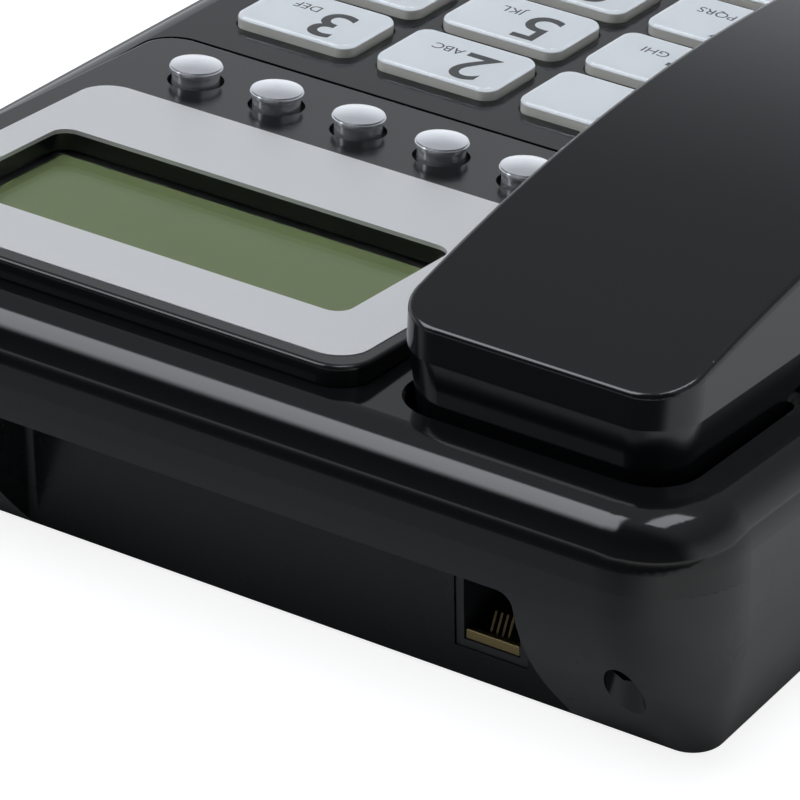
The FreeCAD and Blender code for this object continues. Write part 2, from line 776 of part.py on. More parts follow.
def display_module():
    """Raised display module: bezel, silver plate, window, panel, holder and board."""
    low = ("$deck_height - 2 * $wall", "$deck_angle")
    face = ("$module_height", "$module_angle")
    shell = wedge("module_outer", "$module_x", "$module_y", "$module_width", "$module_length",
                  "$module_corner", low, face, "$module_edge")
    flange = wedge("module_flange", "$module_x - ($module_flange + $gap) / 2", "$module_y",
                   "$module_width + $module_flange - $gap", "$module_length + 2 * $module_flange",
                   "$module_corner + $module_flange", low, ("$deck_height - $wall", "$deck_angle"))
    hollow = wedge("module_hollow", "$module_x", "$module_y", "$module_width - 2 * $wall",
                   "$module_length - 2 * $wall", "$module_corner - $wall",
                   ("$deck_height - 3 * $wall", "$deck_angle"),
                   ("$module_height - $wall", "$module_angle"))
    window = at(MODULE, "$window_x", "$window_y")
    plate = at(MODULE, "$plate_x", "$plate_y")
    opening = block("window_opening", window, "$window_width", "$window_length", "$window_corner",
                    "-2 * $window_depth", "$wall")
    skirt = block("window_skirt", window, "$window_width + 2 * $window_rim",
                  "$window_length + 2 * $window_rim", "$window_corner + $window_rim",
                  "-$window_depth", "-$wall / 2")
    removed = [
        hollow,
        block("plate_seat", plate, "$plate_width + $gap", "$plate_length + $gap",
              "$plate_corner + $gap / 2", "$plate_proud - $plate_thick", "$wall"),
        opening,
    ]
    for index in range(BUTTON_COUNT):
        removed.append(disc(f"button_hole_{index}", button_spot(index), "$button_rim + $gap",
                            "-2 * $wall", "$wall"))
    solid = cut("module_solid", fuse("module_blank", [shell, flange]), removed)
    rim = cut("window_rim", skirt, [opening])
    part("display_bezel", fuse("display_bezel", [solid, rim]))

    sheet_metal = block("plate_blank", plate, "$plate_width", "$plate_length", "$plate_corner",
                        "$plate_proud - $plate_thick", "$plate_proud")
    hole = block("plate_window", window, "$window_width", "$window_length", "$window_corner",
                 "-$wall", "$wall")
    part("display_plate", cut("display_plate", sheet_metal, [hole]))

    wide = "$window_width + 2 * $lens_margin"
    deep = "$window_length + 2 * $lens_margin"
    lens_low = "(-$window_depth - $lens_thick)"
    lcd_low = "(-$window_depth - $lens_thick - $lcd_thick)"
    part("lcd_window", box("lcd_window", window, wide, deep, lens_low, "-$window_depth"))
    part("lcd_panel", box("lcd_panel", window, wide, deep, lcd_low, lens_low))
    tray = box("holder_blank", window, "$window_width + 2 * $holder_margin",
               "$window_length + 2 * $holder_margin", f"{lcd_low} - $holder_floor", "-$window_depth")
    nest = box("holder_nest", window, f"{wide} + $gap", f"{deep} + $gap", lcd_low, "0")
    part("lcd_holder", cut("lcd_holder", tray, [nest]))
    under = f"({lcd_low} - $holder_floor)"
    board = at(MODULE, "$display_board_x", "$display_board_y")
    part("display_board", box("display_board", board, "$display_board_width", "$display_board_length",
                              f"{under} - $board_thick", under))


def round_button(index):
    """Round button: flange and neck inside, rim ring and domed cap outside."""
    body = new_body(f"round_button_{index + 1}", button_spot(index))
    profile = sketch_on(body, role="XZ_Plane")
    under = "(-$wall - $gap)"
    board = "(-$window_depth - $lens_thick - $lcd_thick - $holder_floor)"
    ring = "($button_shoulder + $button_rim_thick)"
    edge = "($button_rise - $button_dome)"
    ball = "(($button_radius ^ 2 + $button_dome ^ 2) / (2 * $button_dome))"
    half_way = ("$button_radius / 2", f"$button_rise - {ball} + sqrt({ball} ^ 2 - ($button_radius / 2) ^ 2)")
    outline(profile, [
        ("0", f"{board} + $button_travel + $gap", None),
        ("$button_stem", f"{board} + $button_travel + $gap", None),
        ("$button_stem", f"{under} - $key_flange", None),
        ("$button_flange", f"{under} - $key_flange", None),
        ("$button_flange", under, None),
        ("$button_neck", under, None),
        ("$button_neck", "$button_shoulder", None),
        ("$button_rim", "$button_shoulder", None),
        ("$button_rim", ring, None),
        ("$button_radius", ring, None),
        ("$button_radius", edge, half_way),
        ("0", "$button_rise", None),
    ])
    turned = body.newObject("PartDesign::Revolution", body.Name + "_turned")
    turned.Profile = profile
    turned.ReferenceAxis = (profile, ["V_Axis"])
    turned.Angle = 360
    part(body.Name, body)


def key(column, row, name):
    """Number key: clear cap with a flange under the deck, and the white insert inside it."""
    where = key_spot(column, row)
    cap = block(f"cap_{name}", where, "$key_width", "$key_length", "$key_corner", FLANGE_TOP, "$key_rise")
    round_edges(cap, "$key_edge", on_slope("$key_rise"))
    lip = block(f"lip_{name}", where, "$key_width + 2 * $key_lip", "$key_length + 2 * $key_lip",
                "$key_corner + $key_lip", FLANGE_LOW, FLANGE_TOP)
    nest = block(f"nest_{name}", where, "$key_width - 2 * $key_side", "$key_length - 2 * $key_side",
                 "$key_corner - $key_side", f"{FLANGE_LOW} - $wall", "$insert_top + $insert_gap")
    part(f"key_cap_{name}", cut(f"key_cap_{name}", fuse(f"cap_solid_{name}", [cap, lip]), [nest]))
    side = "2 * ($key_side + $insert_gap)"
    core = block(f"core_{name}", where, f"$key_width - {side}", f"$key_length - {side}",
                 "$key_corner - $key_side - $insert_gap", FLANGE_LOW, "$insert_top")
    stem = disc(f"stem_{name}", where, "$stem_radius", STEM_LOW, "0")
    part(f"key_insert_{name}", fuse(f"key_insert_{name}", [core, stem]))


def function_key(column):
    """Long narrow key in front of the number keys, guessed."""
    where = function_spot(column)
    cap = block(f"function_cap_{column}", where, "$key_width", "$function_length", "$function_corner",
                FLANGE_TOP, "$key_rise")
    round_edges(cap, "$key_edge", on_slope("$key_rise"))
    lip = block(f"function_lip_{column}", where, "$key_width + 2 * $key_lip",
                "$function_length + 2 * $key_lip", "$function_corner + $key_lip", FLANGE_LOW, FLANGE_TOP)
    stem = disc(f"function_stem_{column}", where, "$stem_radius", STEM_LOW, FLANGE_TOP)
    node = f"function_key_{column + 1}"
    part(node, fuse(node, [cap, lip, stem]))


def keypad():
    """The contact mat and the board under the keys."""
    mat_at = at(DECK, "$mat_x", "$mat_y")
    mat_low = f"({MAT_TOP} - $mat_thick)"
    added = [box("mat_sheet", mat_at, "$mat_width", "$mat_length", mat_low, MAT_TOP)]
    for row in range(len(KEY_ROWS)):
        for column in range(len(KEY_ROWS[row])):
            added.append(dome(f"dome_{column}_{row}", key_spot(column, row)))
    for column in range(FUNCTION_COUNT):
        added.append(dome(f"function_dome_{column}", function_spot(column)))
    clear = [disc(f"mat_hole_{index}", at(DECK, x, y), "$board_post_radius + $gap", f"{mat_low} - $wall", "0")
             for index, (x, y) in enumerate(BOARD_POSTS)]
    part("keypad_membrane", cut("keypad_membrane", fuse("mat_solid", added), clear))
    board_at = at(DECK, "$key_board_x", "$mat_y")
    part("key_board", box("key_board", board_at, "$key_board_width", "$key_board_length",
                          f"{mat_low} - $board_thick", mat_low))


def dome(name, where):
    """Rubber dome under one key."""
    piece = doc.addObject("Part::Cone", name)
    piece.setExpression("Radius1", formula("$dome_radius"))
    piece.setExpression("Radius2", formula("$dome_top"))
    piece.setExpression("Height", formula(f"{STEM_LOW} - ({MAT_TOP}) - $gap / 2"))
    piece.setExpression("Placement", formula(at(where, z=MAT_TOP)))
    return piece


def hook():
    """Hook plunger in the ear well, drawn pressed down, and the switch that it works."""
    where = hook_spot()
    low = f"({WELL_FLOOR} - $wall - $gap - $hook_travel)"
    rod = disc("hook_rod", where, "$hook_radius", f"{low} - $hook_stem", "-$cup_drop - $gap / 2")
    collar = disc("hook_collar", where, "$hook_flange", f"{low} - $hook_flange_thick", low)
    part("hook_plunger", fuse("hook_plunger", [rod, collar]))
    across = "($handset_y + $hook_y)"
    reach = f"({low} - $hook_stem - 2 * $gap)"
    switch_y = f"({across} * cos($deck_angle) - {reach} * sin($deck_angle))"
    switch_at = at(BASE, "$handset_x + $hook_x", switch_y)
    level = f"$deck_height + {across} * sin($deck_angle) + {reach} * cos($deck_angle)"
    part("hook_switch", block("hook_switch", switch_at, "$hook_switch_width", "$hook_switch_length",
                              "$gap", BOARD_HIGH, level))


def handset_outline(sketch, inset):
    """Outline of the handset from above: slightly bulging sides and round corners."""
    half = f"($handset_half - {inset})"
    end = f"($handset_end - {inset})"
    waist = f"($handset_waist - {inset})"
    bend = f"($handset_corner - {inset} / 2)"
    part_way = f"({bend} * (1 - sqrt(0.5)))"
    outline(sketch, [
        (f"-{end} + {bend}", f"-{half}", None),
        (f"{end} - {bend}", f"-{half}", (f"{end} - {part_way}", f"-{half} + {part_way}")),
        (end, f"-{half} + {bend}", (waist, "0")),
        (end, f"{half} - {bend}", (f"{end} - {part_way}", f"{half} - {part_way}")),
        (f"{end} - {bend}", half, None),
        (f"-{end} + {bend}", half, (f"-{end} + {part_way}", f"{half} - {part_way}")),
        (f"-{end}", f"{half} - {bend}", (f"-{waist}", "0")),
        (f"-{end}", f"-{half} + {bend}", (f"-{end} + {part_way}", f"-{half} + {part_way}")),
    ])


def arch(y, under):
    """Height of the handset's arch at a distance from its middle, a given depth under its top."""
    radius = f"($handset_arch - ({under}))"
    return f"($handset_top - ({under}) - {radius} + sqrt({radius} ^ 2 - ({y}) ^ 2))"


def trim_arch(body, under, upwards):
    """Removes what lies above or below an arch of the handset."""
    end = "($handset_half + 2 * $handset_wall)"
    far = "$reach" if upwards else "-$reach"
    sketch = sketch_on(body, role="YZ_Plane")
    outline(sketch, [
        (f"-{end}", arch(end, under), ("0", f"$handset_top - ({under})")),
        (end, arch(end, under), None),
        (end, far, None),
        (f"-{end}", far, None),
    ])
    remove(body, sketch, "$body_width", both_ways=True)


def handset_top(name, inset, under, parting):
    """Upper handset solid between the arch and the line where the shells meet."""
    body = new_body(name, HANDSET)
    plan = sketch_on(body)
    handset_outline(plan, inset)
    feature(body, "Pad", plan, Length="2 * $handset_top")
    trim_arch(body, under, True)
    trim_arch(body, parting, False)
    return body


def handset_low(name, inset, parting):
    """Lower handset solid: two cups that taper into the wells, and the grip between them."""
    body = new_body(name, HANDSET)
    sections = []
    for taper, level in (("$shell_step", "$handset_top"), ("$shell_step", "$cup_start"),
                         ("($shell_step + $cup_taper)", f"-$cup_drop + {inset}")):
        sketch = sketch_on(body, spot(z=level))
        handset_outline(sketch, f"({taper} + {inset})")
        sections.append(sketch)
    loft = body.newObject("PartDesign::AdditiveLoft", name + "_loft")
    loft.Profile = sections[0]
    loft.Sections = sections[1:]
    loft.Ruled = True
    trim_arch(body, parting, True)
    cup = f"($cup_inner + {inset})"
    grip = f"($grip_half + {inset} / 2)"
    under = f"($handset_top - $grip_height - {inset})"
    gap = sketch_on(body, role="YZ_Plane")
    outline(gap, [
        (f"-{cup}", "-$reach", None),
        (f"-{cup}", f"$well_gap + {inset}", None),
        (f"-{grip}", arch(grip, under), ("0", f"$grip_height + {inset}")),
        (grip, arch(grip, under), None),
        (cup, f"$well_gap + {inset}", None),
        (cup, "-$reach", None),
    ])
    remove(body, gap, "$body_width", both_ways=True)
    return body


def handset_screw_spot(side, z="0"):
    """Place of a handset screw, which goes up through the inner end of a cup."""
    return at(HANDSET, y=f"{side} * $handset_post_y", z=z)


def handset():
    """The handset: two shells, receiver, microphone, weight, socket and screws."""
    outer = handset_top("handset_upper_outer", "0", "0", "$shell_split")
    rim = arch_test("0")
    round_edges(outer, "$handset_edge", rim)
    inner = handset_top("handset_upper_inner", "$handset_wall", "$handset_wall",
                        "$shell_split + $handset_wall")
    low_outer = handset_low("handset_lower_outer", "0", "$shell_split")
    low_inner = handset_low("handset_lower_inner", "$handset_wall", "$shell_split - $handset_wall")
    floor = "(-$cup_drop + $handset_wall / 2)"
    upper = [cut("handset_upper_shell", outer, [inner])]
    lower = [cut("handset_lower_shell", low_outer, [low_inner])]
    upper_holes = []
    lower_holes = []
    screws = []
    for name, side in (("ear", 1), ("mouth", -1)):
        where = handset_screw_spot(side)
        upper.append(disc(f"{name}_upper_post", where, "$handset_post_radius", "$handset_post_split",
                          arch("$handset_post_y", "$handset_wall / 2")))
        upper_holes.append(disc(f"{name}_pilot", where, "$screw_radius", "0", HANDSET_SCREW_TIP + " + $gap"))
        lower.append(disc(f"{name}_lower_post", where, "$handset_post_radius", floor, "$handset_post_split"))
        lower_holes.append(disc(f"{name}_bore", where, "$screw_radius + $gap / 2", "-$reach", "$handset_post_split"))
        lower_holes.append(disc(f"{name}_head_bore", where, "$screw_head - $gap", "-$reach", HANDSET_SCREW_SEAT))
        screws.append(screw(f"{name}_screw", where, HANDSET_SCREW_SEAT, HANDSET_SCREW_TIP))
    ear = at(HANDSET, y="$receiver_y")
    for index in range(SOUND_HOLE_COUNT):
        turned = at(ear, turn=f"{index} * 360 / {SOUND_HOLE_COUNT}")
        lower_holes.append(disc(f"sound_hole_{index}", at(turned, "$sound_ring"), "$sound_hole",
                                "-2 * $cup_drop", "0"))
    lower_holes.append(disc("sound_hole_middle", ear, "$sound_hole", "-2 * $cup_drop", "0"))
    mouth = at(HANDSET, y="$mic_y")
    lower_holes.append(disc("mic_hole", mouth, "$sound_hole", "-2 * $cup_drop", "0"))
    socket_at = at(HANDSET, y="-$handset_half")
    inner_floor = "(-$cup_drop + $handset_wall)"
    lower_holes.append(box("socket_hole", socket_at, "$handset_jack_width + $gap", "6 * $handset_wall",
                           "$handset_jack_low", "$handset_jack_low + $handset_jack_height + $gap / 2"))
    part("handset_upper", cut("handset_upper", fuse("handset_upper_solid", upper), upper_holes))
    part("handset_lower", cut("handset_lower", fuse("handset_lower_solid", lower), lower_holes))
    part("handset_screws", group("handset_screws", screws))
    part("receiver_capsule", disc("receiver_capsule", ear, "$receiver_radius", inner_floor,
                                  f"{inner_floor} + $receiver_thick"))
    part("microphone", disc("microphone", mouth, "$mic_radius", inner_floor,
                            f"{inner_floor} + $mic_thick"))
    seat = "($grip_height + $handset_wall + $gap / 2)"
    part("handset_weight", block("handset_weight", HANDSET, "$weight_width", "$weight_length", "$gap",
                                 seat, f"{seat} + $weight_thick"))
    face = f"$handset_half - {SOCKET_INSET}"
    where = at(HANDSET, y=f"-({face}) + $handset_jack_depth / 2")
    blank = box("socket_blank", where, "$handset_jack_width", "$handset_jack_depth",
                "$handset_jack_low", "$handset_jack_low + $handset_jack_height")
    port = box("socket_port", at(where, y="-2 * $jack_wall"), "$cord_port_width", "$handset_jack_depth",
               "$handset_jack_low + $jack_wall",
               "$handset_jack_low + $jack_wall + $cord_port_height - $gap")
    part("handset_socket", cut("handset_socket", blank, [port]))


def arch_test(under):
    """Test for edges that follow the handset's arch a given depth under its top."""
    top = number(f"$handset_top - ({under})")
    radius = number(f"$handset_arch - ({under})")

    def picked(edge):
        return all(abs(math.hypot(p.y, p.z - top + radius) - radius) < CLOSE for p in edge_points(edge))

    return picked


def screw(name, where, seat, tip):
    """Pan-head screw that stands upright, with its head under its seat."""
    head = disc(f"{name}_head", where, "$screw_head - 2 * $gap", f"{seat} - $screw_head_thick", seat)
    shank = disc(f"{name}_shank", where, "$screw_radius - $gap / 10", f"{seat} - $gap", tip)
    return fuse(name, [head, shank])


def base_parts():
    """What the base holds: board, sockets, cells and door, speaker, feet, screws and switch."""
    board = spot("$main_board_x", "$main_board_y")
    part("main_board", box("main_board", board, "$main_board_width", "$main_board_length",
                           BOARD_LOW, BOARD_HIGH))

    jack_at = spot("$line_jack_x", "$base_rear - $gap - $jack_depth / 2")
    blank = box("line_jack_blank", jack_at, "$jack_width", "$jack_depth", BOARD_HIGH,
                f"{BOARD_HIGH} + $jack_height")
    port = box("line_jack_port", at(jack_at, y="$jack_depth - $port_depth"), "$port_width",
               "$jack_depth", f"{BOARD_HIGH} + $jack_wall", f"{BOARD_HIGH} + $jack_wall + $port_height")
    part("line_jack", cut("line_jack", blank, [port]))

    face = f"(-$base_width / 2 - $side_flare * sin(90 * ({BOARD_HIGH} - $foot_height) / $parting_height) + $gap)"
    cord_at = spot(f"{face} + $jack_depth / 2", "$cord_jack_y")
    blank = box("cord_jack_blank", cord_at, "$jack_depth", CORD_JACK_WIDTH, BOARD_HIGH,
                f"{BOARD_HIGH} + {CORD_JACK_HEIGHT}")
    port = box("cord_jack_port", at(cord_at, "$port_depth - $jack_depth"), "$jack_depth",
               "$cord_port_width", f"{BOARD_HIGH} + $jack_wall",
               f"{BOARD_HIGH} + $jack_wall + $cord_port_height")
    foot = box("cord_jack_foot", cord_at, "$jack_depth / 3", CORD_JACK_WIDTH,
               "$foot_height + $wall", BOARD_HIGH)
    part("cord_jack", cut("cord_jack", fuse("cord_jack_solid", [blank, foot]), [port]))

    cells = []
    for index in range(CELL_COUNT):
        offset = f"({index} - ({CELL_COUNT} - 1) / 2) * 2 * ($cell_radius + $cell_gap)"
        middle = "$foot_height + $door_thick + $cell_radius + $cell_gap / 2"
        lying = spot("$bay_x", f"$bay_y + {offset}", middle, (0, 1, 0), "90")
        cells.append(disc(f"cell_{index}", lying, "$cell_radius", "-$cell_length / 2", "$cell_length / 2"))
    part("batteries", group("batteries", cells))

    bay = spot("$bay_x", "$bay_y")
    lid = box("door_lid", bay, f"{BAY_WIDTH} + 2 * $door_rim - 2 * $gap",
              f"{BAY_LENGTH} + 2 * $door_rim - 2 * $gap", "$foot_height",
              "$foot_height + $door_thick / 2 - $gap / 10")
    plug = box("door_plug", bay, f"{BAY_WIDTH} - 2 * $gap", f"{BAY_LENGTH} - 2 * $gap",
               "$foot_height + $door_thick / 4", "$foot_height + $door_thick")
    part("battery_door", fuse("battery_door", [lid, plug]))

    low = "$foot_height + $wall"
    where = spot("$speaker_x", "$speaker_y")
    cone = disc("speaker_cone", where, "$speaker_radius", low, f"{low} + $speaker_thick")
    magnet = disc("speaker_magnet", where, "$magnet_radius", low,
                  f"{low} + $speaker_thick + $magnet_thick")
    part("speaker", fuse("speaker", [cone, magnet]))

    feet = [disc(f"foot_{index}", spot(x, y), "$foot_radius", "0", "$foot_thick")
            for index, (x, y) in enumerate(FOOT_SPOTS)]
    part("rubber_feet", group("rubber_feet", feet))

    seat = "$foot_height + $screw_sunk"
    screws = [screw(f"case_screw_{index}", spot(x, y), f"({seat})", f"({seat} + $screw_length)")
              for index, (x, y) in enumerate(CASE_POSTS)]
    part("case_screws", group("case_screws", screws))

    middle = spot("($ringer_out + $ringer_back) / 2", "$ringer_y")
    knob = box("ringer_knob", middle, "$ringer_out - $ringer_back", "$ringer_width",
               "$ringer_z - $ringer_height / 2", "$ringer_z + $ringer_height / 2")
    slide = spot("($ringer_flange + $ringer_back) / 2", "$ringer_y")
    flange = box("ringer_flange_plate", slide, "$ringer_flange - $ringer_back",
                 "$ringer_width + 4 * $ringer_travel", "$ringer_z - $ringer_height",
                 "$ringer_z + $ringer_height")
    part("ringer_switch", fuse("ringer_switch", [knob, flange]))


def build():
    """Makes every sub-part."""
    top_cover()
    bottom_cover()
    display_module()
    for index in range(BUTTON_COUNT):
        round_button(index)
    for row, names in enumerate(KEY_ROWS):
        for column, name in enumerate(names):
            key(column, row, name)
    for column in range(FUNCTION_COUNT):
        function_key(column)
    keypad()
    hook()
    handset()
    base_parts()


def check_and_write():
    """Checks every object of the document and writes each sub-part to its own file."""
    doc.recompute()
    for item in doc.Objects:
        if "Invalid" in item.State or "Error" in item.State:
            raise RuntimeError(f"{item.Name} failed: {item.State}")
    for node, piece in PARTS.items():
        if piece.Shape.isNull() or not piece.Shape.isValid():
            raise RuntimeError(f"{node} has no valid shape")
    os.makedirs("parts", exist_ok=True)
    for node, piece in PARTS.items():
        piece.Shape.exportStep(os.path.join("parts", node + ".step"))
    print(len(PARTS), "sub-parts written")


build()
check_and_write()
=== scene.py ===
"""Corded telephone: finishes, lettering, contacts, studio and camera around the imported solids.

Every length is in metres and every angle in degrees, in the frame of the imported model.
"""

import json
import logging
import math
from collections.abc import Iterable
from dataclasses import dataclass
from enum import Enum

import bmesh
import bpy
from mathutils import Matrix, Vector

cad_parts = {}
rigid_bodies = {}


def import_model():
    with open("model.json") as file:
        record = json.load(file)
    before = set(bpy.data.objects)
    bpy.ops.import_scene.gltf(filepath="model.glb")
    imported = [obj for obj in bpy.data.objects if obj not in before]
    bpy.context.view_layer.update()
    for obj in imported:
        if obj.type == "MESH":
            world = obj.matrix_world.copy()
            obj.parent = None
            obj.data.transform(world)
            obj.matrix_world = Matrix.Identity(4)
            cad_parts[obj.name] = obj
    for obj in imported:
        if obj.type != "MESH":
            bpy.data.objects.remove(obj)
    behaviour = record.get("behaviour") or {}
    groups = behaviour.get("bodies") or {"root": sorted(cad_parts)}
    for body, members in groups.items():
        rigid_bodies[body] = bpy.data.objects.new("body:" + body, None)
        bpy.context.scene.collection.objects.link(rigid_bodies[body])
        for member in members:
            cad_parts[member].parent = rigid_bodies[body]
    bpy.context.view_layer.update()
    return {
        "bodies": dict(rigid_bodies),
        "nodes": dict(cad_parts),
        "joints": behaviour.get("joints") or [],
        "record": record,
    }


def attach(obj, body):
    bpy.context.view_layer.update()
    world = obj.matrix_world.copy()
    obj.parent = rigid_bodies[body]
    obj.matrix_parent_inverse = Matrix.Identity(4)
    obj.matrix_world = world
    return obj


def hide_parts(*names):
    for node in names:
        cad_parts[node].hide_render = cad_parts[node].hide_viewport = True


LOG = logging.getLogger("telephone")
MM = 0.001
ROWS = (("1", "2", "3"), ("4", "5", "6"), ("7", "8", "9"), ("star", "0", "hash"))

Colour = tuple[float, float, float, float]
Value = bpy.types.NodeSocket | float | Colour


def grey(value: float) -> Colour:
    """Neutral colour of one linear value."""
    return (value, value, value, 1.0)


def slope(height: float, angle: float) -> Matrix:
    """Frame of a plane that rises towards the rear.

    Args:
        height: height over the table at y = 0.
        angle: its slope.

    Returns:
        The matrix from the plane's own coordinates to the model's.
    """
    return Matrix.Translation((0.0, 0.0, height)) @ Matrix.Rotation(math.radians(angle), 4, "X")


DECK_ANGLE = 5.14
DECK = slope(39.5 * MM, DECK_ANGLE)
MODULE = slope(39.12 * MM, 7.41)


# Shader helpers and effects


class Blend(Enum):
    """What a Mix node mixes, with the numbers of its first and second input and its result."""

    VALUE = ("FLOAT", 2, 3, 0)
    COLOUR = ("RGBA", 6, 7, 2)


class Tree:
    """Adds and links the nodes of one node tree."""

    def __init__(self, tree: bpy.types.NodeTree) -> None:
        """Keeps the tree that the nodes go in."""
        self.tree = tree

    def add(self, kind: str, **settings: str | float | Colour) -> bpy.types.Node:
        """Adds a node.

        Args:
            kind: the node's type name.
            settings: properties of the node, or default values of its inputs by lower-case name.

        Returns:
            The new node.
        """
        node = self.tree.nodes.new(kind)
        for name, value in settings.items():
            if hasattr(node, name):
                setattr(node, name, value)
            else:
                self.preset(node, name, value)
        return node

    @staticmethod
    def preset(node: bpy.types.Node, name: str, value: float | Colour) -> None:
        """Sets the default value of a node's input, given by its lower-case name."""
        node.inputs[name.replace("_", " ").title()].default_value = value

    def link(self, out: bpy.types.NodeSocket, into: bpy.types.NodeSocket) -> None:
        """Joins two sockets."""
        self.tree.links.new(out, into)

    def give(self, value: Value | None, socket: bpy.types.NodeSocket) -> None:
        """Links a value to an input, or sets the input to it.

        Args:
            value: a socket, a number or a colour, or None to leave the input as it is.
            socket: the input.
        """
        if isinstance(value, bpy.types.NodeSocket):
            self.link(value, socket)
        elif value is not None:
            socket.default_value = value

    def math(self, operation: str, first: Value,
             second: Value | None = None) -> bpy.types.NodeSocket:
        """Adds a Math node.

        Args:
            operation: what it does.
            first: a socket or a number.
            second: a socket or a number, where the operation takes two.

        Returns:
            Its result.
        """
        node = self.add("ShaderNodeMath", operation=operation)
        self.give(first, node.inputs[0])
        self.give(second, node.inputs[1])
        return node.outputs[0]

    def mix(self, blend: Blend, mask: bpy.types.NodeSocket, first: Value,
            second: Value) -> bpy.types.NodeSocket:
        """Adds a Mix node.

        Args:
            blend: what it mixes.
            mask: the share of the second, from 0 to 1.
            first: a socket, a number or a colour.
            second: a socket, a number or a colour.

        Returns:
            Its result.
        """
        kind, low, high, result = blend.value
        node = self.add("ShaderNodeMix", data_type=kind)
        self.link(mask, node.inputs[0])
        self.give(first, node.inputs[low])
        self.give(second, node.inputs[high])
        return node.outputs[result]

    def fade(self, value: bpy.types.NodeSocket, start: float, end: float) -> bpy.types.NodeSocket:
        """Adds a smooth step of a value.

        Args:
            value: the socket that is stepped.
            start: where the result is 0.
            end: where the result is 1, which may be below the start.

        Returns:
            The stepped value.
        """
        node = self.add("ShaderNodeMapRange", interpolation_type="SMOOTHSTEP")
        rising = start < end
        node.inputs["From Min"].default_value = min(start, end)
        node.inputs["From Max"].default_value = max(start, end)
        node.inputs["To Min"].default_value = 0.0 if rising else 1.0
        node.inputs["To Max"].default_value = 1.0 if rising else 0.0
        self.link(value, node.inputs["Value"])
        return node.outputs["Result"]


def new_material(name: str) -> tuple[bpy.types.Material, Tree, bpy.types.Node]:
    """Makes a plain material.

    Args:
        name: its name.

    Returns:
        The material, its tree and its main shader.
    """
    material = bpy.data.materials.new(name)
    material.use_nodes = True
    return material, Tree(material.node_tree), material.node_tree.nodes["Principled BSDF"]


class Effect(Enum):
    """The shader groups that several finishes share."""

    HANDLING = "handling_marks"
    GRAIN = "moulding_grain"
    DUST = "dust_specks"


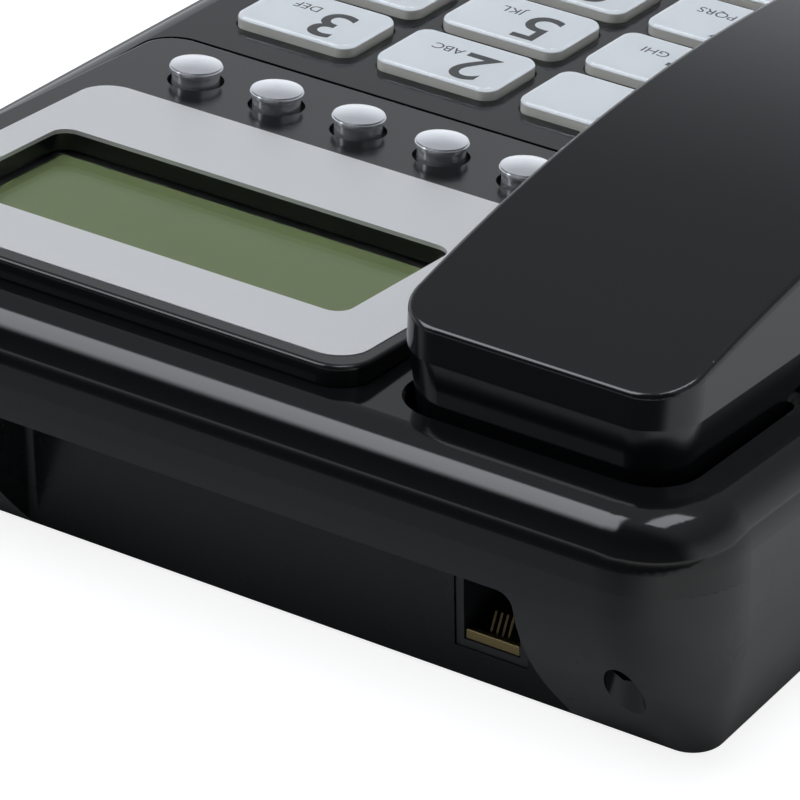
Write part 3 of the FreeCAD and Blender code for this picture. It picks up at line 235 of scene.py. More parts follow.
class Effects:
    """Builds each shader group once and places it in a material."""

    FINE_RATIO = 9.0
    CLOUD_MEAN = 0.25

    def __init__(self) -> None:
        """Starts with no group built."""
        self.built: dict[Effect, bpy.types.NodeTree] = {}

    def place(self, tree: Tree, effect: Effect, **values: float | Colour) -> bpy.types.Node:
        """Adds a group node for an effect.

        Args:
            tree: the material's tree.
            effect: which group.
            values: default values of its inputs by lower-case name.

        Returns:
            The group node.
        """
        if effect not in self.built:
            maker = {
                Effect.HANDLING: self.handling,
                Effect.GRAIN: self.grain,
                Effect.DUST: self.dust,
            }[effect]
            self.built[effect] = maker(effect.value)
        node = tree.tree.nodes.new("ShaderNodeGroup")
        node.node_tree = self.built[effect]
        for name, value in values.items():
            tree.preset(node, name, value)
        return node

    @staticmethod
    def start(name: str, inputs: dict[str, float | Colour],
              outputs: dict[str, str]) -> tuple[Tree, bpy.types.Node, bpy.types.Node]:
        """Makes an empty group with its sockets.

        Args:
            name: the group's name.
            inputs: input names with their default values.
            outputs: output names with their socket types.

        Returns:
            The group's tree, its input node and its output node.
        """
        group = bpy.data.node_groups.new(name, "ShaderNodeTree")
        for label, value in inputs.items():
            kind = "NodeSocketFloat" if isinstance(value, float) else "NodeSocketColor"
            socket = group.interface.new_socket(label, in_out="INPUT", socket_type=kind)
            socket.default_value = value
        for label, kind in outputs.items():
            group.interface.new_socket(label, in_out="OUTPUT", socket_type=kind)
        return Tree(group), group.nodes.new("NodeGroupInput"), group.nodes.new("NodeGroupOutput")

    def handling(self, name: str) -> bpy.types.NodeTree:
        """Roughness that varies in soft patches, as where a gloss surface was touched or wiped.

        Args:
            name: the group's name.

        Returns:
            The group.
        """
        tree, given, out = self.start(
            name,
            {"Roughness": 0.2, "Amount": 0.05, "Scale": 30.0},
            {"Roughness": "NodeSocketFloat"},
        )
        place = tree.add("ShaderNodeTexCoord").outputs["Object"]
        cloud = tree.add("ShaderNodeTexNoise", detail=4.0)
        tree.link(place, cloud.inputs["Vector"])
        tree.link(given.outputs["Scale"], cloud.inputs["Scale"])
        fine = tree.add("ShaderNodeTexNoise", detail=2.0)
        tree.link(place, fine.inputs["Vector"])
        finer = tree.math("MULTIPLY", given.outputs["Scale"], self.FINE_RATIO)
        tree.link(finer, fine.inputs["Scale"])
        both = tree.math("MULTIPLY", cloud.outputs["Fac"], fine.outputs["Fac"])
        swing = tree.math("SUBTRACT", both, self.CLOUD_MEAN)
        swing = tree.math("MULTIPLY", swing, given.outputs["Amount"])
        tree.link(tree.math("ADD", given.outputs["Roughness"], swing), out.inputs["Roughness"])
        return tree.tree

    def grain(self, name: str) -> bpy.types.NodeTree:
        """Height of a fine moulded texture.

        Args:
            name: the group's name.

        Returns:
            The group.
        """
        tree, given, out = self.start(name, {"Scale": 2000.0}, {"Height": "NodeSocketFloat"})
        fine = tree.add("ShaderNodeTexNoise", detail=3.0)
        tree.link(tree.add("ShaderNodeTexCoord").outputs["Object"], fine.inputs["Vector"])
        tree.link(given.outputs["Scale"], fine.inputs["Scale"])
        tree.link(fine.outputs["Fac"], out.inputs["Height"])
        return tree.tree

    def dust(self, name: str) -> bpy.types.NodeTree:
        """A colour with small pale specks scattered over it.

        Args:
            name: the group's name.

        Returns:
            The group.
        """
        tree, given, out = self.start(
            name,
            {"Color": grey(0.01), "Speck": grey(0.5), "Scale": 250.0, "Share": 0.03, "Size": 0.12},
            {"Color": "NodeSocketColor"},
        )
        place = tree.add("ShaderNodeTexCoord").outputs["Object"]
        cells = tree.add("ShaderNodeTexVoronoi")
        tree.link(place, cells.inputs["Vector"])
        tree.link(given.outputs["Scale"], cells.inputs["Scale"])
        chance = tree.add("ShaderNodeSeparateColor")
        tree.link(cells.outputs["Color"], chance.inputs["Color"])
        chosen = tree.math("LESS_THAN", chance.outputs["Red"], given.outputs["Share"])
        near = tree.math("LESS_THAN", cells.outputs["Distance"], given.outputs["Size"])
        mask = tree.math("MULTIPLY", chosen, near)
        mixed = tree.mix(Blend.COLOUR, mask, given.outputs["Color"], given.outputs["Speck"])
        tree.link(mixed, out.inputs["Color"])
        return tree.tree


# Finishes


@dataclass(frozen=True)
class Finish:
    """A solid finish: its colour, gloss, fine texture and the traces of use on it.

    Marks say how far the roughness varies, and at what scale. Grain is the moulded texture. Specks
    are dust: the share of the texture's cells that hold one, and its radius in the cell.
    """

    name: str
    color: Colour
    roughness: float
    metallic: float = 0.0
    specular: float = 0.5
    marks: float = 0.06
    marks_scale: float = 30.0
    grain_scale: float = 2500.0
    grain_depth: float = 0.02
    grain_height: float = 0.1 * MM
    speck_share: float = 0.0
    speck_size: float = 0.1

    def make(self, effects: Effects) -> bpy.types.Material:
        """Builds the material.

        Args:
            effects: the shared shader groups.

        Returns:
            The material.
        """
        material, tree, shader = new_material(self.name)
        shader.inputs["Metallic"].default_value = self.metallic
        shader.inputs["Specular IOR Level"].default_value = self.specular
        marks = effects.place(
            tree, Effect.HANDLING,
            roughness=self.roughness, amount=self.marks, scale=self.marks_scale,
        )
        tree.link(marks.outputs["Roughness"], shader.inputs["Roughness"])
        shader.inputs["Base Color"].default_value = self.color
        if self.speck_share > 0.0:
            dust = effects.place(
                tree, Effect.DUST, color=self.color, share=self.speck_share, size=self.speck_size
            )
            tree.link(dust.outputs["Color"], shader.inputs["Base Color"])
        if self.grain_depth > 0.0:
            grain = effects.place(tree, Effect.GRAIN, scale=self.grain_scale)
            bump = tree.add("ShaderNodeBump", strength=self.grain_depth, distance=self.grain_height)
            tree.link(grain.outputs["Height"], bump.inputs["Height"])
            tree.link(bump.outputs["Normal"], shader.inputs["Normal"])
        return material


@dataclass(frozen=True)
class ClearFinish:
    """A clear plastic that lets lamp light through to what is behind it."""

    name: str
    tint: Colour
    roughness: float = 0.02
    ior: float = 1.49
    marks: float = 0.05
    marks_scale: float = 90.0

    def make(self, effects: Effects) -> bpy.types.Material:
        """Builds the material.

        Args:
            effects: the shared shader groups.

        Returns:
            The material.
        """
        material, tree, shader = new_material(self.name)
        shader.inputs["Base Color"].default_value = self.tint
        shader.inputs["Transmission Weight"].default_value = 1.0
        shader.inputs["IOR"].default_value = self.ior
        marks = effects.place(
            tree, Effect.HANDLING,
            roughness=self.roughness, amount=self.marks, scale=self.marks_scale,
        )
        tree.link(marks.outputs["Roughness"], shader.inputs["Roughness"])
        through = tree.add("ShaderNodeBsdfTransparent")
        through.inputs["Color"].default_value = self.tint
        path = tree.add("ShaderNodeLightPath")
        mix = tree.add("ShaderNodeMixShader")
        tree.link(path.outputs["Is Shadow Ray"], mix.inputs[0])
        tree.link(shader.outputs[0], mix.inputs[1])
        tree.link(through.outputs[0], mix.inputs[2])
        tree.link(mix.outputs[0], tree.tree.nodes["Material Output"].inputs["Surface"])
        return material


class Palette:
    """Makes each finish once, when it is first asked for."""

    FINISHES = (
        Finish("cover_gloss", (0.0055, 0.0058, 0.0063, 1.0), 0.09, specular=0.45, marks=0.08,
               grain_depth=0.015, speck_share=0.004, speck_size=0.08),
        Finish("housing_satin", (0.012, 0.013, 0.0145, 1.0), 0.26, marks=0.12, grain_depth=0.1,
               grain_scale=4000.0),
        Finish("bezel_gloss", (0.008, 0.0085, 0.009, 1.0), 0.18, specular=0.42, marks=0.1,
               grain_depth=0.06, grain_scale=5000.0),
        Finish("handset_gloss", (0.0045, 0.005, 0.006, 1.0), 0.15, specular=0.58, marks=0.1,
               grain_depth=0.02, speck_share=0.03, speck_size=0.045),
        Finish("plate_silver", (0.74, 0.735, 0.74, 1.0), 0.38, metallic=0.52, marks=0.06,
               grain_depth=0.05, grain_scale=7000.0),
        Finish("lcd_green", (0.14, 0.168, 0.08, 1.0), 0.35, specular=0.0, marks=0.05,
               grain_depth=0.0),
        Finish("lcd_black", (0.006, 0.006, 0.006, 1.0), 0.3),
        Finish("inner_plastic", (0.02, 0.02, 0.021, 1.0), 0.45, grain_depth=0.1),
        Finish("board_green", (0.03, 0.12, 0.05, 1.0), 0.4),
        Finish("mat_rubber", (0.45, 0.45, 0.44, 1.0), 0.6),
        Finish("key_white", (0.84, 0.86, 0.89, 1.0), 0.4, grain_depth=0.03),
        Finish("key_cream", (0.7, 0.68, 0.63, 1.0), 0.4),
        Finish("button_chrome", (0.9, 0.91, 0.94, 1.0), 0.2, metallic=0.78, marks=0.05,
               grain_depth=0.01),
        Finish("function_grey", (0.35, 0.36, 0.37, 1.0), 0.35),
        Finish("speaker_metal", (0.5, 0.5, 0.5, 1.0), 0.35, metallic=1.0),
        Finish("jack_plastic", (0.05, 0.053, 0.057, 1.0), 0.35, grain_depth=0.05),
        Finish("foot_rubber", (0.02, 0.02, 0.02, 1.0), 0.8, grain_depth=0.2, grain_scale=1500.0),
        Finish("steel", (0.6, 0.6, 0.6, 1.0), 0.3, metallic=1.0),
        Finish("cell_wrap", (0.05, 0.2, 0.35, 1.0), 0.3),
        Finish("contact_gold", (0.42, 0.33, 0.16, 1.0), 0.3, metallic=0.9),
        Finish("key_ink", (0.018, 0.021, 0.021, 1.0), 0.5, specular=0.2),
        Finish("key_ink_pale", (0.42, 0.43, 0.44, 1.0), 0.5),
        ClearFinish("window_clear", (0.93, 0.95, 0.93, 1.0), ior=1.12),
        ClearFinish("key_clear", (0.97, 0.98, 0.98, 1.0)),
    )

    def __init__(self) -> None:
        """Starts with the shared groups and no material."""
        self.effects = Effects()
        self.known = {finish.name: finish for finish in self.FINISHES}
        self.made: dict[str, bpy.types.Material] = {}

    def get(self, name: str) -> bpy.types.Material:
        """Gives a finish's material, made when it is first asked for.

        Args:
            name: the finish's name.

        Returns:
            The material.
        """
        if name not in self.made:
            self.made[name] = self.known[name].make(self.effects)
        return self.made[name]


# Making pieces


def placed(name: str, data: bpy.types.ID) -> bpy.types.Object:
    """Puts a new object in the scene.

    Args:
        name: its name.
        data: its mesh, text or camera.

    Returns:
        The object.
    """
    thing = bpy.data.objects.new(name, data)
    bpy.context.scene.collection.objects.link(thing)
    return thing


@dataclass
class Workshop:
    """What every sub-assembly needs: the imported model's nodes and the finishes."""

    nodes: dict[str, bpy.types.Object]
    palette: Palette

    def dress(self, finish: str, names: Iterable[str]) -> None:
        """Gives CAD nodes a finish.

        Args:
            finish: the finish's name.
            names: the nodes.
        """
        for name in names:
            mesh = self.nodes[name].data
            mesh.materials.clear()
            mesh.materials.append(self.palette.get(finish))
            LOG.info("dressed %s in %s", name, finish)

    def piece(self, name: str, mesh: bpy.types.Mesh, finishes: Iterable[str], body: str,
              slot: str | None = None) -> bpy.types.Object:
        """Puts a finished mesh in the scene as a piece of the object.

        Args:
            name: the piece's name.
            mesh: its mesh, in the model's frame.
            finishes: the finishes of its material slots, in order.
            body: the body that it moves with.
            slot: not used.

        Returns:
            The new object.
        """
        mesh.name = name
        mesh.materials.clear()
        for finish in finishes:
            mesh.materials.append(self.palette.get(finish))
        thing = placed(name, mesh)
        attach(thing, body)
        LOG.info("made %s on %s: %d faces", name, body, len(mesh.polygons))
        return thing


def mesh_of(thing: bpy.types.Object) -> bpy.types.Mesh:
    """The evaluated mesh of an object, which is then removed.

    Args:
        thing: a text, curve or mesh object with its modifiers.

    Returns:
        A plain mesh in the object's own coordinates.
    """
    graph = bpy.context.evaluated_depsgraph_get()
    mesh = bpy.data.meshes.new_from_object(thing.evaluated_get(graph))
    bpy.data.objects.remove(thing)
    return mesh


def joined(meshes: Iterable[bpy.types.Mesh], slots: Iterable[int]) -> bpy.types.Mesh:
    """Puts meshes together in one.

    Args:
        meshes: the meshes, which are then removed.
        slots: the material slot number of each.

    Returns:
        The one mesh.
    """
    whole = bmesh.new()
    for mesh, slot_number in zip(meshes, slots):
        before = len(whole.faces)
        whole.from_mesh(mesh)
        whole.faces.ensure_lookup_table()
        for face in whole.faces[before:]:
            face.material_index = slot_number
        bpy.data.meshes.remove(mesh)
    result = bpy.data.meshes.new("joined")
    whole.to_mesh(result)
    whole.free()
    return result


def block(frame: Matrix, centre: tuple[float, float, float], size: tuple[float, float, float],
          radius: float, segments: int = 3) -> bpy.types.Mesh:
    """A box with rounded edges.

    Args:
        frame: matrix from the box's coordinates to the model's.
        centre: its middle.
        size: its full lengths.
        radius: radius of its edges.
        segments: how many faces round each edge.

    Returns:
        The mesh in the model's frame.
    """
    shape = bmesh.new()
    bmesh.ops.create_cube(shape, size=1.0)
    bmesh.ops.scale(shape, vec=size, verts=shape.verts)
    bmesh.ops.bevel(
        shape, geom=shape.edges[:], offset=radius, segments=segments, affect="EDGES", profile=0.5
    )
    bmesh.ops.transform(shape, matrix=frame @ Matrix.Translation(centre), verts=shape.verts)
    mesh = bpy.data.meshes.new("block")
    shape.to_mesh(mesh)
    shape.free()
    return mesh


def outline(centre: tuple[float, float], size: tuple[float, float], corner: float, inset: float,
            steps: int) -> list[tuple[float, float]]:
    """The points of a rectangle with round corners.

    Args:
        centre: its middle.
        size: its full width and length, before the inset.
        corner: radius of its corners, before the inset.
        inset: how far the outline is moved inwards.
        steps: how many faces round each corner.

    Returns:
        The points, anticlockwise.
    """
    points = []
    for number, (way_x, way_y) in enumerate(((1, 1), (-1, 1), (-1, -1), (1, -1))):
        for step in range(steps + 1):
            turn = math.radians(90.0 * (number + step / steps))
            points.append((
                centre[0] + way_x * (size[0] / 2 - corner) + (corner - inset) * math.cos(turn),
                centre[1] + way_y * (size[1] / 2 - corner) + (corner - inset) * math.sin(turn),
            ))
    return points


def slab(frame: Matrix, centre: tuple[float, float], size: tuple[float, float], corner: float,
         low: float, high: float, wall: float = 0.0, steps: int = 8) -> bpy.types.Mesh:
    """A flat plate with rounded corners, or a ring of that outline.

    Args:
        frame: matrix from the plate's coordinates to the model's.
        centre: its middle.
        size: its full width and length.
        corner: radius of its corners.
        low: level of its lower face.
        high: level of its upper face.
        wall: how thick the ring is, or 0 for a full plate.
        steps: how many faces round each corner.

    Returns:
        The mesh in the model's frame.
    """
    insets = (0.0, wall) if wall else (0.0,)
    points = [frame @ Vector((x, y, level)) for inset in insets for level in (low, high)
              for x, y in outline(centre, size, corner, inset, steps)]
    count = 4 * (steps + 1)
    # Each rim is a belt of faces between two outlines, given by the numbers of their first points.
    if wall:
        rims = ((0, count), (count, 3 * count), (3 * count, 2 * count), (2 * count, 0))
        faces = []
    else:
        rims = ((0, count),)
        faces = [list(range(count))[::-1], list(range(count, 2 * count))]
    for first, second in rims:
        for here in range(count):
            there = (here + 1) % count
            faces.append([first + here, first + there, second + there, second + here])
    mesh = bpy.data.meshes.new("slab")
    mesh.from_pydata(points, [], faces)
    return mesh


# Sub-assemblies


@dataclass
class Base:
    """The base's two covers and what is fixed inside them."""

    shop: Workshop

    def dress(self) -> None:
        """Gives the base's nodes their finishes."""
        plan = {
            "cover_gloss": ("top_cover",),
            "housing_satin": ("bottom_cover", "battery_door"),
            "inner_plastic": ("hook_switch", "hook_plunger", "ringer_switch"),
            "board_green": ("main_board",),
            "jack_plastic": ("line_jack", "cord_jack"),
            "speaker_metal": ("speaker",),
            "foot_rubber": ("rubber_feet",),
            "steel": ("case_screws",),
            "cell_wrap": ("batteries",),
        }
        for finish, names in plan.items():
            self.shop.dress(finish, names)


@dataclass(frozen=True)
class Port:
    """A socket's port, and the size of the row of contacts in it.

    Place is the middle of the port's front, as high over its floor as the drop. Tilt is its slope
    towards the rear, and turn is its turn from facing the rear, anticlockwise from above. Scale is
    the size of its contacts next to those of the line socket.
    """

    name: str
    body: str
    place: tuple[float, float, float]
    width: float
    scale: float = 1.0
    turn: float = 0.0
    tilt: float = 0.0
    drop: float = 0.0

    def frame(self) -> Matrix:
        """Gives the port's frame.

        Returns:
            The matrix from the port's own coordinates to the model's.
        """
        lean = Matrix.Rotation(math.radians(self.tilt), 4, "X")
        facing = Matrix.Rotation(math.radians(self.turn), 4, "Z")
        down = Matrix.Translation((0.0, 0.0, -self.drop))
        return Matrix.Translation(self.place) @ lean @ facing @ down


PORTS = (
    Port("line_contacts", "base", (-39.6 * MM, 91.2 * MM, 7.35 * MM), 9.4 * MM),
    Port("cord_contacts", "base", (-78.0 * MM, -58.0 * MM, 7.4 * MM), 7.0 * MM,
         scale=0.7, turn=90.0),
    Port("handset_contacts", "handset", (-49.3 * MM, -84.2 * MM, 35.8 * MM), 6.6 * MM,
         scale=0.6, turn=180.0, tilt=DECK_ANGLE, drop=3.0 * MM),
)


@dataclass
class ContactRow:
    """The contacts in a socket's port: a bar across its floor and a row of spring wires.

    The origin is the middle of the port's front edge, on its floor. The y axis points out of the
    port and the z axis away from the floor. Low and high are the y and z of a wire's ends. Every
    length here is before the port's scale.
    """

    shop: Workshop
    port: Port
    count: int = 4
    pitch: float = 1.02 * MM
    wire: float = 0.36 * MM
    low: tuple[float, float] = (-2.2 * MM, 1.0 * MM)
    high: tuple[float, float] = (-3.8 * MM, 3.9 * MM)
    bar_deep: float = 1.1 * MM
    bar_tall: float = 1.7 * MM
    bar_inset: float = 0.7 * MM
    bar_edge: float = 0.2 * MM

    def network(self) -> tuple[bpy.types.NodeTree, dict[str, str]]:
        """Makes the Geometry Nodes tree of a row of wires, which starts at its first wire's middle.

        Returns:
            The tree, and the identifiers of its inputs by their names.
        """
        group = bpy.data.node_groups.new("contact_row", "GeometryNodeTree")
        inputs = {}
        for label, kind in (("Geometry", "NodeSocketGeometry"), ("Count", "NodeSocketInt"),
                            ("Pitch", "NodeSocketFloat"), ("Thickness", "NodeSocketFloat")):
            socket = group.interface.new_socket(label, in_out="INPUT", socket_type=kind)
            inputs[label] = socket.identifier
        group.interface.new_socket("Geometry", in_out="OUTPUT", socket_type="NodeSocketGeometry")
        tree = Tree(group)
        given, out = tree.add("NodeGroupInput"), tree.add("NodeGroupOutput")
        row = tree.add("GeometryNodeMeshLine")
        step = tree.add("ShaderNodeCombineXYZ")
        tree.link(given.outputs["Pitch"], step.inputs["X"])
        tree.link(given.outputs["Count"], row.inputs["Count"])
        tree.link(step.outputs[0], row.inputs["Offset"])
        run = (self.high[0] - self.low[0], self.high[1] - self.low[1])
        cube = tree.add("GeometryNodeMeshCube")
        size = tree.add("ShaderNodeCombineXYZ")
        size.inputs["Y"].default_value = math.hypot(*run)
        tree.link(given.outputs["Thickness"], size.inputs["X"])
        tree.link(given.outputs["Thickness"], size.inputs["Z"])
        tree.link(size.outputs[0], cube.inputs["Size"])
        spread = tree.add("GeometryNodeInstanceOnPoints")
        spread.inputs["Rotation"].default_value = (math.atan2(run[1], run[0]), 0.0, 0.0)
        tree.link(row.outputs["Mesh"], spread.inputs["Points"])
        tree.link(cube.outputs["Mesh"], spread.inputs["Instance"])
        whole = tree.add("GeometryNodeRealizeInstances")
        tree.link(spread.outputs["Instances"], whole.inputs["Geometry"])
        paint = tree.add("GeometryNodeSetMaterial")
        paint.inputs["Material"].default_value = self.shop.palette.get("contact_gold")
        tree.link(whole.outputs["Geometry"], paint.inputs["Geometry"])
        tree.link(paint.outputs["Geometry"], out.inputs["Geometry"])
        return group, inputs

    def wires(self) -> bpy.types.Mesh:
        """Makes the row of wires with Geometry Nodes.

        Returns:
            The wires' mesh in the row's own coordinates.
        """
        group, inputs = self.network()
        thing = placed("wires", bpy.data.meshes.new("wires"))
        maker = thing.modifiers.new("row", "NODES")
        maker.node_group = group
        maker[inputs["Count"]] = self.count
        maker[inputs["Pitch"]] = self.pitch
        maker[inputs["Thickness"]] = self.wire
        mesh = mesh_of(thing)
        middle = ((self.low[0] + self.high[0]) / 2, (self.low[1] + self.high[1]) / 2)
        mesh.transform(Matrix.Translation((-self.pitch * (self.count - 1) / 2, *middle)))
        return mesh

    def build(self) -> None:
        """Makes the bar and the wires as one piece."""
        frame = self.port.frame() @ Matrix.Scale(self.port.scale, 4)
        wires = self.wires()
        wires.transform(frame)
        size = (self.port.width / self.port.scale, self.bar_deep, self.bar_tall)
        bar = block(frame, (0.0, -self.bar_inset, self.bar_tall / 2), size, self.bar_edge)
        row = joined([wires, bar], [0, 0])
        self.shop.piece(self.port.name, row, ["contact_gold"], self.port.body, "jack_plastic")


@dataclass
class DisplayModule:
    """The raised display module: bezel, plate, lens, panel and its black border."""

    shop: Workshop
    window_x: float = 28.5 * MM
    window_y: float = 67.8 * MM
    window_width: float = 73.0 * MM
    window_length: float = 30.6 * MM
    margin: float = 1.5 * MM
    lens_top: float = -3.4 * MM
    lens_thick: float = 0.7 * MM
    panel_top: float = -4.2 * MM
    border_left: float = 4.0 * MM
    border_right: float = 1.2 * MM
    border_front: float = 1.3 * MM
    border_rear: float = 3.0 * MM
    border_thick: float = 0.04 * MM
    border_edge: float = 0.005 * MM
    lens_edge: float = 0.1 * MM

    def lens(self) -> None:
        """Makes the lens over the panel, in the place of the solid window."""
        width, length = self.window_width + 2 * self.margin, self.window_length + 2 * self.margin
        size = (width, length, self.lens_thick)
        centre = (self.window_x, self.window_y, self.lens_top - self.lens_thick / 2)
        mesh = block(MODULE, centre, size, self.lens_edge)
        piece = self.shop.piece("display_lens", mesh, ["window_clear"], "base", "window_clear")
        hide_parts("lcd_window")

    def border(self) -> None:
        """Makes the black frame printed round the panel, from four bars."""
        half_wide, half_long = self.window_width / 2, self.window_length / 2
        left, right = self.window_x - half_wide, self.window_x + half_wide
        front, rear = self.window_y - half_long, self.window_y + half_long
        outer_left, outer_right = left - self.margin, right + self.margin
        outer_front, outer_rear = front - self.margin, rear + self.margin
        inner_left, inner_right = left + self.border_left, right - self.border_right
        inner_front, inner_rear = front + self.border_front, rear - self.border_rear
        level = self.panel_top + self.border_thick / 2
        bars = []
        for x_low, x_high, y_low, y_high in (
                (outer_left, outer_right, outer_front, inner_front),
                (outer_left, outer_right, inner_rear, outer_rear),
                (outer_left, inner_left, inner_front, inner_rear),
                (inner_right, outer_right, inner_front, inner_rear)):
            centre = ((x_low + x_high) / 2, (y_low + y_high) / 2, level)
            size = (x_high - x_low, y_high - y_low, self.border_thick)
            bars.append(block(MODULE, centre, size, self.border_edge, 1))
        mesh = joined(bars, [0] * len(bars))
        self.shop.piece("panel_border", mesh, ["lcd_black"], "base", "lcd_green")

    def build(self) -> None:
        """Makes the lens and the border."""
        self.lens()
        self.border()

    def dress(self) -> None:
        """Gives the module's nodes their finishes."""
        self.shop.dress("bezel_gloss", ("display_bezel",))
        self.shop.dress("plate_silver", ("display_plate",))
        self.shop.dress("lcd_green", ("lcd_panel",))
        self.shop.dress("inner_plastic", ("lcd_holder",))
        self.shop.dress("board_green", ("display_board",))


@dataclass
class RoundButtons:
    """The five bright round buttons."""

    shop: Workshop
    count: int = 5

    def dress(self) -> None:
        """Gives the buttons their finish."""
        self.shop.dress("button_chrome", [f"round_button_{n + 1}" for n in range(self.count)])


class Legend(Enum):
    """What is printed under each key's cap: the large character and the small letters."""

    KEY_1 = ("1", "")
    KEY_2 = ("2", "ABC")
    KEY_3 = ("3", "DEF")
    KEY_4 = ("4", "GHI")
    KEY_5 = ("5", "JKL")
    KEY_6 = ("6", "MNO")
    KEY_7 = ("7", "PQRS")
    KEY_8 = ("8", "TUV")
    KEY_9 = ("9", "WXYZ")
    KEY_STAR = ("*", "")
    KEY_0 = ("0", "")
    KEY_HASH = ("#", "")


@dataclass
class Keypad:
    """The number keys with the characters under their caps, and the keys in front of them.

    The four has its own weight, because its counter closes at a larger one.
    """

    shop: Workshop
    first_x: float = 2.95 * MM
    first_y: float = -7.0 * MM
    pitch_x: float = 27.28 * MM
    pitch_y: float = 19.5 * MM
    sheet_width: float = 22.2 * MM
    sheet_length: float = 14.8 * MM
    sheet_corner: float = 2.4 * MM
    sheet_low: float = 1.26 * MM
    sheet_high: float = 1.34 * MM
    ink_thick: float = 0.03 * MM
    digit_size: float = 14.0 * MM
    digit_weight: float = 0.1 * MM
    four_weight: float = 0.01 * MM
    digit_x: float = -3.6 * MM
    digit_y: float = 0.6 * MM
    letter_size: float = 3.0 * MM
    letter_x: float = 3.3 * MM
    letter_y: float = -2.8 * MM
    letter_weight: float = 0.0
    sleeve_low: float = -0.3 * MM
    sleeve_high: float = 1.2 * MM
    sleeve_wall: float = 0.25 * MM
    function_keys: int = 3

    def character(self, text: str, size: float, place: Matrix, weight: float) -> bpy.types.Mesh:
        """A printed word as a thin mesh.

        Args:
            text: the characters.
            size: their size.
            place: matrix from the key's top to the model.
            weight: how much bolder than the plain letter form.

        Returns:
            The mesh in the model's frame.
        """
        curve = bpy.data.curves.new("ink", "FONT")
        curve.body = text
        curve.size = size
        curve.align_x = "CENTER"
        curve.align_y = "CENTER"
        curve.extrude = self.ink_thick / 2
        curve.offset = weight
        mesh = mesh_of(placed("ink", curve))
        mesh.transform(place)
        return mesh

    def characters(self, legend: Legend, x: float, y: float) -> bpy.types.Mesh:
        """Makes what is printed on one key.

        Args:
            legend: the key's characters.
            x: the key's middle across the deck.
            y: the key's middle along the deck.

        Returns:
            The mesh, with the large character in slot 0 and the letters in slot 1.
        """
        big, small = legend.value
        level = self.sheet_high + self.ink_thick / 2
        weight = self.four_weight if legend is Legend.KEY_4 else self.digit_weight
        place = DECK @ Matrix.Translation((x + self.digit_x, y + self.digit_y, level))
        meshes = [self.character(big, self.digit_size, place, weight)]
        if small:
            place = DECK @ Matrix.Translation((x + self.letter_x, y + self.letter_y, level))
            meshes.append(self.character(small, self.letter_size, place, self.letter_weight))
        return joined(meshes, range(len(meshes)))

    def build(self) -> None:
        """Makes the characters, the white sheet and the pale sleeve in each key's cap."""
        size = (self.sheet_width, self.sheet_length)
        for row, names in enumerate(ROWS):
            for column, name in enumerate(names):
                x = self.first_x + column * self.pitch_x
                y = self.first_y - row * self.pitch_y
                body = f"key_{name}"
                ink = self.characters(Legend[body.upper()], x, y)
                self.shop.piece(f"ink_{name}", ink, ["key_ink", "key_ink_pale"], body)
                sheet = slab(DECK, (x, y), size, self.sheet_corner, self.sheet_low, self.sheet_high)
                self.shop.piece(f"sheet_{name}", sheet, ["key_white"], body, "key_white")
                sleeve = slab(DECK, (x, y), size, self.sheet_corner, self.sleeve_low,
                              self.sleeve_high, self.sleeve_wall)
                self.shop.piece(f"sleeve_{name}", sleeve, ["key_cream"], body, "key_white")

    def dress(self) -> None:
        """Gives the keys, the mat and the board their finishes."""
        names = [name for row in ROWS for name in row]
        self.shop.dress("key_clear", [f"key_cap_{name}" for name in names])
        self.shop.dress("key_white", [f"key_insert_{name}" for name in names])
        front_keys = [f"function_key_{n + 1}" for n in range(self.function_keys)]
        self.shop.dress("function_grey", front_keys)
        self.shop.dress("mat_rubber", ("keypad_membrane",))
        self.shop.dress("board_green", ("key_board",))


@dataclass
class Handset:
    """The handset's shells and the parts in them."""

    shop: Workshop

    def dress(self) -> None:
        """Gives the handset's nodes their finishes."""
        self.shop.dress("handset_gloss", ("handset_upper", "handset_lower"))
        self.shop.dress("jack_plastic", ("handset_socket",))
        self.shop.dress("steel", ("handset_screws", "handset_weight"))
        self.shop.dress("speaker_metal", ("receiver_capsule", "microphone"))


# Studio


@dataclass(frozen=True)
class SoftPanel:
    """A soft-edged light of the surroundings, placed by the direction in which it is seen.

    Each row of four numbers says where the panel starts, is full, stops being full and ends,
    along one coordinate of the direction. Rise is where it fades in above the horizon.
    """

    across: tuple[float, float, float, float]
    along: tuple[float, float, float, float]
    strength: float
    rise: tuple[float, float] = (0.0, 0.1)

    def add(self, tree: Tree, direction: bpy.types.Node) -> bpy.types.NodeSocket:
        """Adds the panel's nodes.

        Args:
            tree: the world's tree.
            direction: the node that gives the direction's coordinates.

        Returns:
            The light that comes from the panel.
        """
        mask = tree.fade(direction.outputs["Z"], *self.rise)
        for socket, (start, full, stop, end) in (("X", self.across), ("Y", self.along)):
            mask = tree.math("MULTIPLY", mask, tree.fade(direction.outputs[socket], start, full))
            mask = tree.math("MULTIPLY", mask, tree.fade(direction.outputs[socket], end, stop))
        return tree.math("MULTIPLY", mask, self.strength)


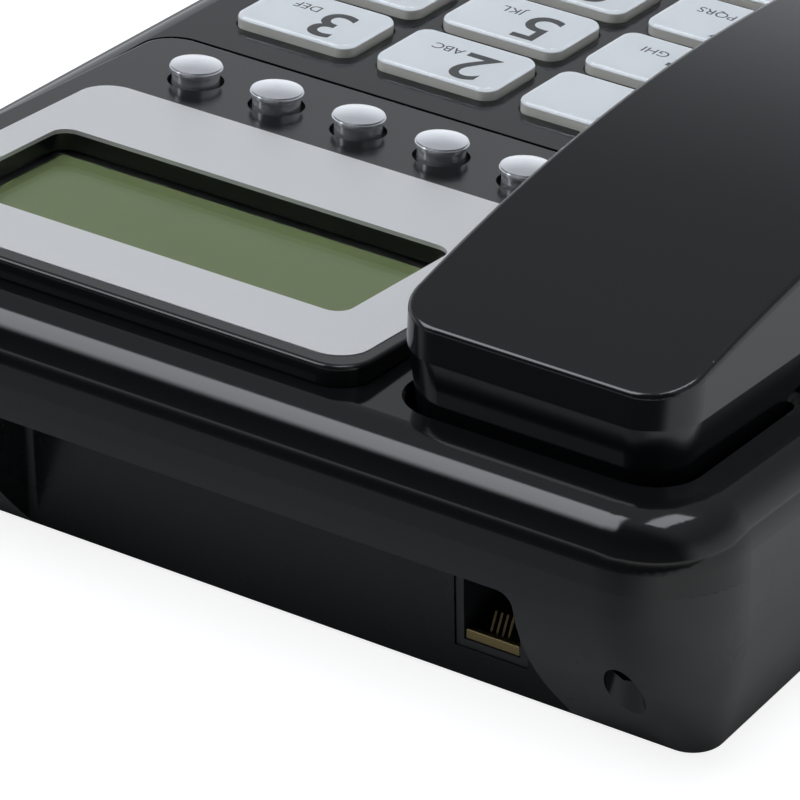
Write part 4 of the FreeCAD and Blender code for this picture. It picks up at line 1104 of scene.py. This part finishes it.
@dataclass
class Studio:
    """White floor and the light around the object.

    In metal, gloss and glass the floor glows as well, far away and, as painted light, beside the
    telephone; a painted shadow dims it close behind. The sky's rows give its light by the height of
    the direction.
    """

    floor_size: float = 6.0
    floor_roughness: float = 0.9
    floor_colour: float = 0.4
    floor_glow: float = 0.86
    far_start: float = 0.25
    far_end: float = 1.0
    # painted light: a brighter patch of floor beside the telephone, seen only in metal, gloss and
    # glass
    side_start: float = -0.065
    side_end: float = -0.12
    painted_side_light: float = 0.48
    # painted shadow: the floor is darkened close behind the telephone, seen only in metal, gloss
    # and glass
    dim_start: float = 0.15
    dim_end: float = 0.2
    painted_shadow_depth: float = 0.85
    rear_start: float = 0.15
    rear_end: float = 0.55
    rear_loss: float = 0.9
    tint: Colour = (0.95, 0.99, 1.04, 1.0)
    sky: tuple[tuple[float, float], ...] = (
        (0.0, 1.0), (0.28, 0.68), (0.42, 0.42), (0.55, 0.28), (0.75, 0.32), (0.9, 0.44))
    panels: tuple[SoftPanel, ...] = (
        SoftPanel((0.2, 0.27, 0.7, 0.8), (0.02, 0.08, 0.46, 0.64), 4.6),
        SoftPanel((-0.32, -0.26, -0.04, 0.02), (-0.42, -0.36, 0.12, 0.18), 4.4),
    )

    @staticmethod
    def rays(tree: Tree) -> tuple[bpy.types.NodeSocket, bpy.types.NodeSocket]:
        """Adds the masks of the rays that show the studio.

        Args:
            tree: the material's or the world's tree.

        Returns:
            The mask of the camera's rays, and that of the rays in metal, gloss and glass.
        """
        path = tree.add("ShaderNodeLightPath").outputs
        shown = tree.math("MAXIMUM", path["Is Glossy Ray"], path["Is Transmission Ray"])
        return path["Is Camera Ray"], shown

    def floor_finish(self) -> bpy.types.Material:
        """Builds the floor's material, which glows by the kind of ray and the place on the floor.

        Returns:
            The material.
        """
        material, tree, shader = new_material("floor_white")
        shader.inputs["Roughness"].default_value = self.floor_roughness
        shader.inputs["Specular IOR Level"].default_value = 0.0
        shader.inputs["Emission Color"].default_value = grey(1.0)
        place = tree.add("ShaderNodeTexCoord").outputs["Object"]
        distance = tree.add("ShaderNodeVectorMath", operation="LENGTH")
        tree.link(place, distance.inputs[0])
        split = tree.add("ShaderNodeSeparateXYZ")
        tree.link(place, split.inputs[0])
        far = tree.fade(distance.outputs["Value"], self.far_start, self.far_end)
        # painted light: a brighter patch of floor beside the telephone, seen only in metal, gloss
        # and glass
        side = tree.fade(split.outputs["X"], self.side_start, self.side_end)
        side = tree.math("MULTIPLY", side, self.painted_side_light)
        front = tree.fade(split.outputs["Y"], self.dim_end, self.dim_start)
        side = tree.math("MULTIPLY", side, front)
        camera, shown = self.rays(tree)
        glow = tree.math("MULTIPLY", shown, tree.math("MAXIMUM", far, side))
        seen = tree.math("MAXIMUM", camera, glow)
        tree.link(tree.math("MULTIPLY", seen, self.floor_glow), shader.inputs["Emission Strength"])
        # painted shadow: the floor's colour is darkened close behind the telephone, seen only in
        # metal, gloss and glass
        dim = tree.fade(split.outputs["Y"], self.dim_start, self.dim_end)
        dim = tree.math("MULTIPLY", dim, self.painted_shadow_depth)
        kept = tree.math("SUBTRACT", 1.0, tree.math("MULTIPLY", shown, dim))
        colour = tree.add("ShaderNodeCombineColor")
        for socket in colour.inputs[:3]:
            tree.link(tree.math("MULTIPLY", kept, self.floor_colour), socket)
        tree.link(colour.outputs[0], shader.inputs["Base Color"])
        return material

    def floor(self) -> None:
        """Makes the pale floor, which keeps the object's shadow."""
        half = self.floor_size / 2
        mesh = bpy.data.meshes.new("floor")
        corners = [(-half, -half, 0), (half, -half, 0), (half, half, 0), (-half, half, 0)]
        mesh.from_pydata(corners, [], [(0, 1, 2, 3)])
        mesh.materials.append(self.floor_finish())
        thing = placed("floor", mesh)

    def world(self) -> None:
        """Makes the surroundings: a pale horizon, darker above and behind, and the soft panels."""
        world = bpy.data.worlds.new("studio")
        bpy.context.scene.world = world
        world.use_nodes = True
        tree = Tree(world.node_tree)
        back = world.node_tree.nodes["Background"]
        split = tree.add("ShaderNodeSeparateXYZ")
        tree.link(tree.add("ShaderNodeTexCoord").outputs["Generated"], split.inputs[0])
        ramp = tree.add("ShaderNodeValToRGB")
        elements = ramp.color_ramp.elements
        for number, (position, value) in enumerate(self.sky):
            element = elements[number] if number < 2 else elements.new(position)
            element.position = position
            element.color = grey(value)
        tree.link(split.outputs["Z"], ramp.inputs[0])
        behind = tree.fade(split.outputs["Y"], self.rear_start, self.rear_end)
        kept = tree.math("SUBTRACT", 1.0, tree.math("MULTIPLY", behind, self.rear_loss))
        light = tree.math("MULTIPLY", ramp.outputs[0], kept)
        for panel in self.panels:
            light = tree.math("ADD", light, panel.add(tree, split))
        camera, _ = self.rays(tree)
        tree.link(tree.mix(Blend.VALUE, camera, light, 1.0), back.inputs["Strength"])
        tree.link(tree.mix(Blend.COLOUR, camera, self.tint, grey(1.0)), back.inputs["Color"])

    def build(self) -> None:
        """Makes the whole studio."""
        self.floor()
        self.world()
        bpy.context.scene.view_settings.view_transform = "Standard"


@dataclass
class View:
    """The camera, which looks at the base's rear left corner from behind and above."""

    place: tuple[float, float, float] = (-0.45294, 0.72710, 0.51318)
    azimuth: float = 34.0
    elevation: float = 31.4
    roll: float = -0.98
    lens: float = 279.0
    sensor: float = 36.0
    clip_near: float = 0.05
    clip_far: float = 20.0

    def build(self) -> None:
        """Makes the camera and sets it as the scene's."""
        turn, lift, roll = (math.radians(v) for v in (self.azimuth, self.elevation, self.roll))
        flat = math.cos(lift)
        back = Vector((-math.sin(turn) * flat, math.cos(turn) * flat, math.sin(lift)))
        forward = -back
        level = forward.cross(Vector((0.0, 0.0, 1.0))).normalized()
        down = forward.cross(level)
        right = math.cos(roll) * level - math.sin(roll) * down
        low = math.sin(roll) * level + math.cos(roll) * down
        data = bpy.data.cameras.new("camera")
        data.lens = self.lens
        data.sensor_width = self.sensor
        data.clip_start, data.clip_end = self.clip_near, self.clip_far
        camera = placed("camera", data)
        camera.matrix_world = Matrix((
            (right.x, -low.x, back.x, self.place[0]),
            (right.y, -low.y, back.y, self.place[1]),
            (right.z, -low.z, back.z, self.place[2]),
            (0.0, 0.0, 0.0, 1.0),
        ))
        bpy.context.scene.camera = camera


def main() -> None:
    """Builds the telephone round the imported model, then the studio and the camera."""
    logging.basicConfig(level=logging.INFO, format="%(message)s")
    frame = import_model()
    shop = Workshop(frame["nodes"], Palette())
    Base(shop).dress()
    display = DisplayModule(shop)
    display.build()
    display.dress()
    RoundButtons(shop).dress()
    keypad = Keypad(shop)
    keypad.build()
    keypad.dress()
    Handset(shop).dress()
    for port in PORTS:
        ContactRow(shop, port).build()
    Studio().build()
    View().build()


if __name__ == "__main__":
    main()
